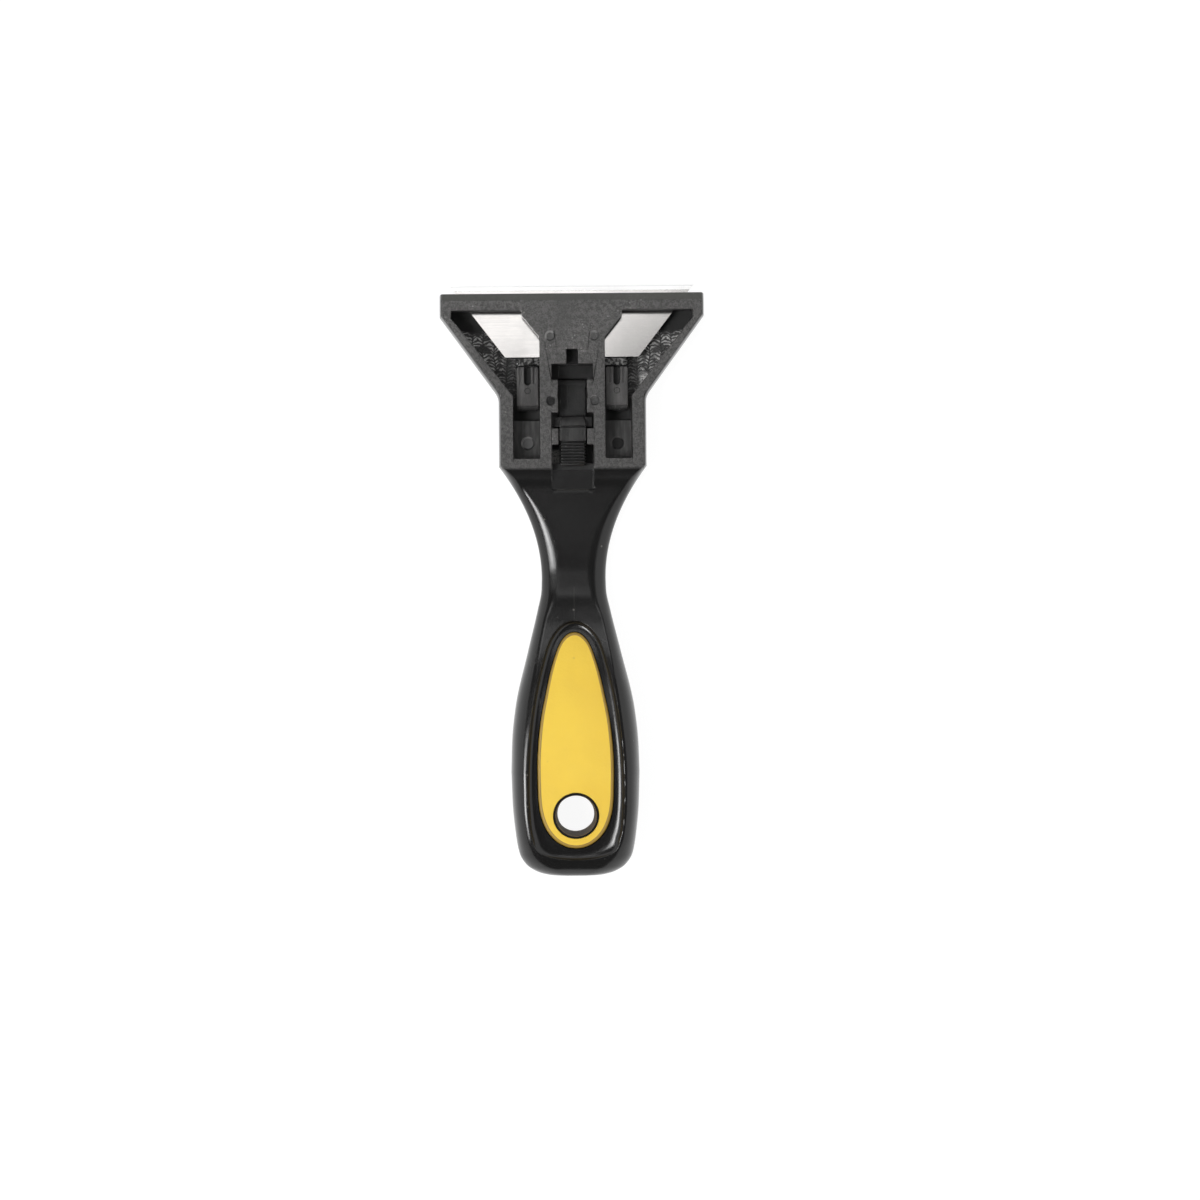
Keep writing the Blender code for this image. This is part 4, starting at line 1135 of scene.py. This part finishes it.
def window_outline():
    """The opening on the +X side of the bridge, from its lower inner corner round."""
    return [
        (BRIDGE_HALF, WINDOW_END_Y), (CHANNEL_OUTER, WINDOW_END_Y),
        (CHANNEL_OUTER, BEND_Y - 0.3 * MM), (WINDOW_HALF, WINDOW_TOP_Y - 1.8 * MM),
        (WINDOW_HALF, WINDOW_TOP_Y), (BRIDGE_TOP_HALF, WINDOW_TOP_Y),
        (BRIDGE_TOP_HALF, WINDOW_TOP_Y - 1.3 * MM), (BRIDGE_HALF, WINDOW_TOP_Y - 6.8 * MM)]


def slot_outline():
    """The latch channel: three pairs of notches at the blade's three stations, and a keyhole end."""
    rest_low, rest_high = LUG_Y - NOTCH_REACH, LUG_Y + NOTCH_REACH
    top_low, top_high = rest_low + FORWARD_RUN, rest_high + FORWARD_RUN
    retracted_high = rest_high - BACKWARD_RUN
    return mirrored([
        (NOTCH_HALF, ROLL_Y), (NOTCH_HALF, retracted_high), (SLOT_HALF, retracted_high),
        (SLOT_HALF, rest_low), (NOTCH_HALF, rest_low), (NOTCH_HALF, rest_high),
        (SLOT_HALF, rest_high), (SLOT_HALF, top_low), (NOTCH_HALF, top_low),
        (NOTCH_HALF, top_high), (KEYHOLE_HALF, top_high), (KEYHOLE_HALF, top_high + KEYHOLE_LENGTH)])


def chamber_cutters(corner):
    """Everything that is open in the head."""
    outer = CHANNEL_OUTER + RUN
    over = HEAD_THICKNESS + OVER
    window = window_outline()
    chamber = mirrored([
        (outer, CHANNEL_TOP_Y), (outer, BEND_Y - 0.9 * MM),
        (MOUTH_HALF, WINDOW_TOP_Y - 1.8 * MM), (MOUTH_HALF, WINDOW_TOP_Y + RUN)])
    cutters = [
        slab(chamber, FLOOR_Z, BRIDGE_Z),
        middle_slab(BRIDGE_HALF, WELL_TOP_Y, CHANNEL_TOP_Y + RUN, FLOOR_Z, BRIDGE_Z),
        middle_slab(BRIDGE_HALF, CHAMBER_END_Y, WELL_TOP_Y + RUN, WELL_Z, BRIDGE_Z),
        middle_slab(outer, WINDOW_END_Y - RUN, CHANNEL_TOP_Y + RUN, CHANNEL_Z, BRIDGE_Z),
        middle_slab(MOUTH_HALF, WINDOW_TOP_Y, NOSE_Y + OVER, FLOOR_Z, MOUTH_TOP_Z),
        slab(window, BRIDGE_Z - RUN, over, corner),
        slab([(-x, y) for x, y in window], BRIDGE_Z - RUN, over, corner),
        slab(slot_outline(), SLOT_FLOOR_Z, over, corner * 0.6)]
    for side in (1, -1):
        for y, depth in ((UPPER_EJECTOR_Y, 0.25 * MM), (LOWER_EJECTOR_Y, 0.7 * MM)):
            cutters.append(post(
                side * BRIDGE_EJECTOR_X, y, BRIDGE_EJECTOR_RADIUS, HEAD_THICKNESS - depth, over,
                EJECTOR_STEPS))
        cutters.append(post(
            side * CHANNEL_EJECTOR_X, CHANNEL_EJECTOR_Y, CHANNEL_EJECTOR_RADIUS,
            CHANNEL_Z - 0.12 * MM, BRIDGE_Z))
    return cutters


def egg_row(side, inset, depth):
    """An outline inside an inlay's, at a depth under the skin: a point for each angle."""
    def point(angle):
        x, y = egg_point(INLAY_FULL_SHARES, -inset, angle)
        return x, y, side_z(y, side) - side * depth
    return point


def egg_stack(rows, steps):
    """Closed stack of egg outlines, rolled from a grid."""
    bm = bmesh.new()
    bmesh.ops.create_grid(bm, x_segments=steps, y_segments=len(rows) - 1, size=1)
    for vert in bm.verts:
        column = round((vert.co.x + 1) / 2 * steps) % steps
        row = rows[round((vert.co.y + 1) / 2 * (len(rows) - 1))]
        vert.co = row(2 * math.pi * column / steps)
    bmesh.ops.remove_doubles(bm, verts=bm.verts, dist=MM / 1000)
    for rim in open_rims(bm):
        ladder(bm, rim)
    bmesh.ops.recalc_face_normals(bm, faces=bm.faces)
    return bm


def open_rims(bm):
    """The points of each open rim of a tube."""
    left = list(dict.fromkeys(v for e in bm.edges if e.is_boundary for v in e.verts))
    rims = []
    while left:
        rim, front = [], [left.pop(0)]
        while front:
            vert = front.pop()
            rim.append(vert)
            near = [e.other_vert(vert) for e in vert.link_edges if e.is_boundary]
            front += [v for v in near if v in left]
            left = [v for v in left if v not in near]
        rims.append(rim)
    return rims


def ladder(bm, rim):
    """Fills a curved rim that is its own mirror image in X with rungs from side to side."""
    left = sorted((v for v in rim if v.co.x < MM / 1000), key=lambda v: v.co.y)
    right = sorted((v for v in rim if v.co.x > -MM / 1000), key=lambda v: v.co.y)
    for low_left, high_left, low_right, high_right in zip(left, left[1:], right, right[1:]):
        bm.faces.new(list(dict.fromkeys((low_left, high_left, high_right, low_right))))


# Operators

class SCRAPER_OT_shells(bpy.types.Operator):
    """Builds the two moulded shells of the head and the handle"""

    bl_idname = "scraper.shells"
    bl_label = "Shells"

    def execute(self, context):
        sizes = context.scene.scraper_sizes
        material = housing_material()
        narrow, wide = HOLE_RADIUS - HOLE_DRAFT, HOLE_RADIUS + HOLE_DRAFT / 3
        low, middle, high = side_z(HOLE_Y, -1) - OVER, middle_z(HOLE_Y), side_z(HOLE_Y, 1) + OVER
        step_y = NOSE_Y - NOSE_STEP
        for side, name, node in ((1, "shell_back", "back_shell"), (-1, "shell_front", "front_shell")):
            shell = place(half_body(side, sizes.seam_gap, sizes.quarter_steps, sizes.flat_steps), name)
            carve(shell, chamber_cutters(sizes.corner_round))
            soften(shell, sizes.edge_round, low_y=ROLL_Y - RUN)
            rows = [
                egg_row(side, -RUN / 2, SCOOP_DEPTH + INLAY_THICKNESS + RUN),
                egg_row(side, -RUN / 2, SCOOP_DEPTH / 2)]
            pocket = place(egg_stack(rows, POCKET_STEPS), name + "_pocket")
            surface = side_z(HOLE_Y, side)
            ends = sorted((surface, surface - side * (SCOOP_DEPTH + INLAY_THICKNESS + OVER)))
            carve(pocket, [post(0, HOLE_Y, EYE_RADIUS, *ends, HOLE_STEPS)])
            hole = [
                post(0, HOLE_Y, narrow, low, high, HOLE_STEPS),
                post(0, HOLE_Y, wide, middle, high, HOLE_STEPS, narrow),
                post(0, HOLE_Y, narrow, low, middle, HOLE_STEPS, wide)]
            groove = middle_slab(
                HEAD_HALF + OVER, step_y - GROOVE_WIDTH, step_y,
                HEAD_THICKNESS - GROOVE_DEPTH, HEAD_THICKNESS + OVER)
            carve(shell, [taken(pocket), *hole, groove])
            finish_piece(shell, "housing", material, node)
        return {"FINISHED"}


class SCRAPER_OT_inlays(bpy.types.Operator):
    """Builds the two soft inlays in the grip"""

    bl_idname = "scraper.inlays"
    bl_label = "Grip inlays"

    def execute(self, context):
        material = inlay_material()
        for side, name, node in (
                (1, "inlay_back", "grip_inlay_back"), (-1, "inlay_front", "grip_inlay_front")):
            rows = [
                egg_row(side, 0, SCOOP_DEPTH + INLAY_THICKNESS),
                egg_row(side, 0, SCOOP_DEPTH + 1.5 * INLAY_ROUND)]
            for turn in spread(0, math.pi / 2, 7):
                inset, fall = INLAY_ROUND * (1 - math.cos(turn)), INLAY_ROUND * (1 - math.sin(turn))
                rows.append(egg_row(side, inset, SCOOP_DEPTH + fall))
            rows.append(egg_row(side, INLAY_BORDER, SCOOP_DEPTH))
            inlay = place(egg_stack(rows, INLAY_STEPS), name)
            carve(inlay, [
                post(0, HOLE_Y, EYE_RADIUS + RUN / 2, -OVER, HANDLE_THICKNESS + OVER, HOLE_STEPS)])
            finish_piece(inlay, "housing", material, node)
            mark_border(inlay)
        return {"FINISHED"}


def mark_border(inlay):
    """Writes how near each point lies to the inlay's outline, from 1 on it to 0, for the material."""
    border = inlay.data.attributes.new("border", "FLOAT", "POINT")
    for index, vert in enumerate(inlay.data.vertices):
        low, high = 0.0, 1.5 * INLAY_BORDER
        for _ in range(10):
            inset = (low + high) / 2
            across = (vert.co.y - INLAY_MID_Y) / (INLAY_LENGTH / 2 - inset)
            inside = abs(across) < 1 and abs(vert.co.x) < egg_point(
                INLAY_FULL_SHARES, -inset, math.acos(across))[0]
            low, high = (inset, high) if inside else (low, inset)
        border.data[index].value = max(0.0, 1 - low / INLAY_BORDER)


class SCRAPER_OT_blade(bpy.types.Operator):
    """Finishes the trapezoid blade in ground steel"""

    bl_idname = "scraper.blade"
    bl_label = "Blade"

    def execute(self, context):
        blade = frame["nodes"]["blade"]
        blade.data.materials.clear()
        blade.data.materials.append(steel_material())
        return {"FINISHED"}


class SCRAPER_OT_carriage(bpy.types.Operator):
    """Builds the blade carriage with its plate, lip, stud and feet"""

    bl_idname = "scraper.carriage"
    bl_label = "Blade carriage"

    def execute(self, context):
        slope = (BLADE_HALF - BLADE_BACK_HALF) / (EDGE_Y - BACK_Y)
        plate = mirrored([
            (FOOT_OUTER, PLATE_END_Y), (FOOT_OUTER, BACK_Y), (PLATE_BACK_HALF, BACK_Y),
            (PLATE_BACK_HALF + slope * (PLATE_FRONT_Y - BACK_Y), PLATE_FRONT_Y)])
        carriage = place(slab(plate, PLATE_Z, PLATE_TOP_Z), "carriage")
        over = FOOT_TOP_Z + OVER
        parts = [
            middle_slab(FOOT_OUTER, LIP_Y, LIP_Y + 1.8 * MM, PLATE_TOP_Z - RUN, LIP_TOP_Z, 0.75 * MM),
            middle_slab(
                KEEPER_HALF, LIP_Y + 0.5 * MM, BACK_Y + 2.2 * MM, KEEPER_Z, KEEPER_TOP_Z, 0.3 * MM),
            post(0, STUD_Y, STUD_RADIUS, PLATE_TOP_Z - RUN, BLADE_TOP_Z + 0.2 * MM, STUD_STEPS)]
        cuts = [knuckle(KNUCKLE_RADIUS + RUN, SLOT_HALF)]
        rings, cores = [], []
        for side in (1, -1):
            left, right = sorted((side * FOOT_INNER, side * FOOT_OUTER))
            foot = place(side_slab(FOOT_PROFILE, left, right), "foot")
            outline = box_slab(left, right, FOOT_END_Y, FOOT_FRONT_Y, 0, HEAD_THICKNESS, 0.5 * MM)
            carve(foot, [outline], "INTERSECT")
            parts.append(taken(foot))
            middle = side * FOOT_MIDDLE
            cuts.append(slab(round_slot(middle, FOOT_SLOT_HALF, FOOT_SLOT_Y), FOOT_SLOT_Z, over))
            for offset in (-STRIPE_X, STRIPE_X):
                stripe = round_slot(middle + offset, 0.3 * MM, FOOT_SLOT_Y + 0.4 * MM)
                cuts.append(slab(stripe, FOOT_TOP_Z - 0.22 * MM, over))
            rings.append(post(middle, RING_Y, FOOT_SLOT_HALF, FOOT_TOP_Z - 0.3 * MM, over))
            rings.append(box_slab(
                middle - SEAM_HALF, middle + SEAM_HALF, SEAM_Y, SEAM_Y + 0.14 * MM,
                FOOT_TOP_Z - 0.1 * MM, over))
            cores.append(post(middle, RING_Y, 0.58 * MM, FOOT_TOP_Z - 0.5 * MM, FOOT_TOP_Z - 0.06 * MM))
        carve(carriage, parts, "UNION")
        carve(carriage, cuts)
        soften(carriage, 0.14 * MM)
        carve(carriage, rings)
        carve(carriage, cores, "UNION")
        finish_piece(carriage, "carriage", carriage_material(), "blade_carriage")
        return {"FINISHED"}


def knuckle(radius, half):
    """Round bar across the tool on the latch's pivot."""
    bm = post(0, 0, radius, -half, half)
    bmesh.ops.rotate(bm, cent=(0, 0, 0), matrix=Matrix.Rotation(math.pi / 2, 3, "Y"), verts=bm.verts)
    bmesh.ops.translate(bm, vec=(0, PIVOT_Y, PIVOT_Z), verts=bm.verts)
    return bm


def round_slot(middle, half, end_y):
    """Outline of a slot that is round at its rear end and runs square into the lip."""
    arc = [math.pi + math.pi * i / 12 for i in range(13)]
    points = [(middle + half * math.cos(a), end_y + half + half * math.sin(a)) for a in arc]
    return points + [(middle + half, LIP_Y), (middle - half, LIP_Y)]


class SCRAPER_OT_latch(bpy.types.Operator):
    """Builds the latch finger with its knuckle, lugs, ramp, thumb block and ribbed pad"""

    bl_idname = "scraper.latch"
    bl_label = "Latch finger"

    def execute(self, context):
        arm_z, arm_top = PIVOT_Z - RUN, PIVOT_Z + 0.8 * MM
        latch = place(middle_slab(FINGER_HALF, BLOCK_Y, PIVOT_Y, arm_z, arm_top), "latch_finger")
        lug_front = LUG_Y + 1.4 * MM
        block = [
            (BLOCK_Y, arm_z), (BLOCK_Y, PAD_UNDER_Z), (PAD_Y, PAD_UNDER_Z), (PAD_Y, BLOCK_TOP_Z),
            (BLOCK_Y - 0.35 * MM, BLOCK_TOP_Z), (BLOCK_Y - 0.08 * MM, BLOCK_TOP_Z - 0.12 * MM),
            (BLOCK_Y + 0.05 * MM, BLOCK_TOP_Z - 0.4 * MM), (BLOCK_Y + 0.12 * MM, LUG_TOP_Z + 1.2 * MM),
            (LUG_END_Y + 0.35 * MM, LUG_TOP_Z + 1.2 * MM), (LUG_END_Y + 0.35 * MM, arm_z)]
        slope = [
            (LUG_END_Y + 0.2 * MM, arm_z), (LUG_END_Y + 0.2 * MM, LUG_TOP_Z + 1.75 * MM),
            (LUG_END_Y + 0.75 * MM, LUG_TOP_Z + 1.5 * MM), (lug_front - 0.35 * MM, LUG_TOP_Z + 0.35 * MM),
            (lug_front, LUG_TOP_Z - RUN), (lug_front, arm_z)]
        slope_piece = place(side_slab(slope, -FINGER_HALF, FINGER_HALF), "slope")
        slope_plan = mirrored([
            (FINGER_HALF - 0.1 * MM, LUG_END_Y - RUN), (FINGER_HALF - 0.1 * MM, LUG_END_Y + MM),
            (FINGER_HALF - 0.75 * MM, lug_front + RUN)])
        carve(slope_piece, [slab(slope_plan, 0, HEAD_THICKNESS)], "INTERSECT")
        pad_half = FINGER_HALF - RIB_OVERHANG
        pad = [
            (PAD_Y + RUN, PAD_UNDER_Z), (PAD_END_Y + 0.5 * MM, PAD_UNDER_Z),
            (PAD_END_Y, PAD_UNDER_Z + 0.35 * MM), (PAD_END_Y, PAD_TOP_Z - 0.85 * MM),
            (PAD_END_Y + 0.4 * MM, PAD_TOP_Z - 0.4 * MM), (PAD_Y + RUN, PAD_TOP_Z - 0.4 * MM)]
        parts = [
            side_slab(block, -FINGER_HALF, FINGER_HALF),
            taken(slope_piece),
            side_slab(pad, -pad_half, pad_half),
            middle_slab(LUG_HALF, LUG_END_Y, lug_front - RUN, PIVOT_Z, LUG_TOP_Z),
            knuckle(KNUCKLE_RADIUS, FINGER_HALF + 0.1 * MM)]
        pitch = (PAD_Y - PAD_END_Y - 0.35 * MM) / PAD_RIBS
        for number in range(PAD_RIBS):
            y = PAD_Y - number * pitch
            rib = [
                (y - 0.08 * MM, PAD_TOP_Z - 1.3 * MM), (y - 0.6 * pitch, PAD_TOP_Z - 1.3 * MM),
                (y - 0.6 * pitch, PAD_TOP_Z - 0.3 * MM), (y - 0.2 * MM, PAD_TOP_Z)]
            parts.append(side_slab(rib, -FINGER_HALF, FINGER_HALF))
        carve(latch, parts, "UNION")
        soften(latch, 0.06 * MM)
        finish_piece(latch, "latch", carriage_material(), "slide_latch")
        return {"FINISHED"}


class SCRAPER_OT_stage(bpy.types.Operator):
    """Sets the floor, the lamp, the reflectors, the surroundings and the camera"""

    bl_idname = "scraper.stage"
    bl_label = "Stage"

    def execute(self, context):
        scene = context.scene
        bm = bmesh.new()
        bmesh.ops.create_grid(bm, x_segments=2, y_segments=2, size=3.0)
        bmesh.ops.translate(bm, vec=(0, 0, -FLOOR_GAP), verts=bm.verts)
        floor = place(bm, "floor")
        floor.data.materials.append(floor_material())
        surroundings(scene)
        add_lamp("key light", (-0.5, -0.2, 0.8), 0.36, 3.8)
        blade_corners = [
            (-0.2, 0.13), (0.025, 0.13), (0.042, 0.18), (0.14, 0.2), (0.14, 0.26), (-0.2, 0.26)]
        for name, height, brightness, corners in (
                ("ceiling", 1.2, 0.065, rectangle(-2.2, 0.95, -6.0, 2.0)),
                ("left edge reflector", 1.15, 2.6, rectangle(-0.5, -0.05, 0.74, 1.4)),
                ("right edge reflector", 1.15, 2.6, rectangle(0.08, 0.4, 0.74, 1.4)),
                ("blade reflector", 0.9, 1.4, blade_corners),
                ("side reflector", 0.85, 8.0, rectangle(-1.05, -0.26, -0.3, 0.05))):
            add_panel(name, height, brightness, corners)
        data = bpy.data.cameras.new("camera")
        data.lens = 65
        data.sensor_width = 36
        data.shift_x = 0.0415
        data.clip_start = 0.01
        camera = bpy.data.objects.new("camera", data)
        camera.location = (-0.006, -0.00502, scene.scraper_sizes.camera_height)
        camera.rotation_euler = (0, 0, math.radians(-0.47))
        scene.collection.objects.link(camera)
        scene.camera = camera
        scene.view_settings.view_transform = "Standard"
        return {"FINISHED"}


def show(material, surface):
    feed(material.node_tree.nodes["Material Output"].inputs["Surface"], surface)


def looked_at(tree):
    """1 for what the camera sees, straight on or in a reflection, and 0 for the light that it gives."""
    path = outputs(add(tree, "ShaderNodeLightPath"))
    return largest(path["Is Camera Ray"], path["Is Glossy Ray"], path["Is Transmission Ray"])


def floor_material():
    """Pale floor that stays white to the camera, keeps a soft shadow and is clear from below."""
    material, shader, spot = new_material("floor paper")
    tree = material.node_tree
    feed(shader.inputs["Base Color"], grey(ramp(noise(spot, 900.0, 2.0), 0.3, 0.7, 0.80, 0.82)))
    shader.inputs["Roughness"].default_value = 0.9
    lit, glow, paper, clear = (Value(node.outputs[0]) for node in (
        shader,
        add(tree, "ShaderNodeEmission", {"Color": WHITE, "Strength": 0.92}),
        add(tree, "ShaderNodeBsdfDiffuse", {"Color": (0.16, 0.16, 0.16, 1)}),
        add(tree, "ShaderNodeBsdfTransparent")))
    seen = made("ShaderNodeAddShader", 0, {0: glow, 1: paper})
    above = made("ShaderNodeMixShader", 0, {0: looked_at(tree), 1: lit, 2: seen})
    behind = outputs(add(tree, "ShaderNodeNewGeometry"))["Backfacing"]
    show(material, made("ShaderNodeMixShader", 0, {0: behind, 1: above, 2: clear}))
    return material


def surroundings(scene):
    """White room: plain light for the object, white to the camera and in reflections."""
    scene.world = bpy.data.worlds.new("studio")
    scene.world.use_nodes = True
    tree = scene.world.node_tree
    background = tree.nodes["Background"].inputs
    feed(background["Color"], blend(looked_at(tree), (0.7, 0.7, 0.7, 1), WHITE))
    background["Strength"].default_value = 1.0


def add_lamp(name, spot, size, power):
    data = bpy.data.lights.new(name, "AREA")
    data.shape = "DISK"
    data.size = size
    data.energy = power
    lamp = bpy.data.objects.new(name, data)
    lamp.location = spot
    lamp.rotation_euler = (-Vector(spot)).to_track_quat("-Z", "Y").to_euler()
    lamp.visible_camera = False
    bpy.context.scene.collection.objects.link(lamp)


def add_panel(name, height, brightness, corners):
    """Panel over the camera, which only the object's gloss shows."""
    bm = bmesh.new()
    bm.faces.new([bm.verts.new((x, y, height)) for x, y in corners])
    panel = place(bm, name)
    material, _, spot = new_material(name + " cloth")
    tone = ramp(noise(spot, 300.0, 2.0), 0.3, 0.7, 0.98 * brightness, 1.02 * brightness)
    show(material, made("ShaderNodeEmission", 0, {"Color": WHITE, "Strength": tone}))
    panel.data.materials.append(material)
    for sight in ("camera", "diffuse", "transmission", "shadow"):
        setattr(panel, "visible_" + sight, False)


class SCRAPER_PT_panel(bpy.types.Panel):
    """Sizes, colours and pieces of the hand scraper"""

    bl_idname = "SCRAPER_PT_panel"
    bl_label = "Hand Scraper"
    bl_space_type = "VIEW_3D"
    bl_region_type = "UI"
    bl_category = "Scraper"

    def draw(self, context):
        layout = self.layout
        for settings in (context.scene.scraper_sizes, context.scene.scraper_colours):
            column = layout.column(align=True)
            for name in settings.__annotations__:
                column.prop(settings, name)
        for operator in PIECE_OPERATORS:
            layout.operator(operator.bl_idname)


PIECE_OPERATORS = (
    SCRAPER_OT_shells,
    SCRAPER_OT_inlays,
    SCRAPER_OT_blade,
    SCRAPER_OT_carriage,
    SCRAPER_OT_latch,
    SCRAPER_OT_stage,
)
CLASSES = (ScraperSizes, ScraperColours, *PIECE_OPERATORS, SCRAPER_PT_panel)


def register():
    for kind in CLASSES:
        bpy.utils.register_class(kind)
    bpy.types.Scene.scraper_sizes = PointerProperty(type=ScraperSizes)
    bpy.types.Scene.scraper_colours = PointerProperty(type=ScraperColours)


def unregister():
    del bpy.types.Scene.scraper_colours
    del bpy.types.Scene.scraper_sizes
    for kind in reversed(CLASSES):
        bpy.utils.unregister_class(kind)


def main():
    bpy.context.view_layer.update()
    register()
    bpy.ops.scraper.shells()
    bpy.ops.scraper.inlays()
    bpy.ops.scraper.blade()
    bpy.ops.scraper.carriage()
    bpy.ops.scraper.latch()
    bpy.ops.scraper.stage()
    bpy.context.view_layer.update()


if __name__ == "__main__":
    main()
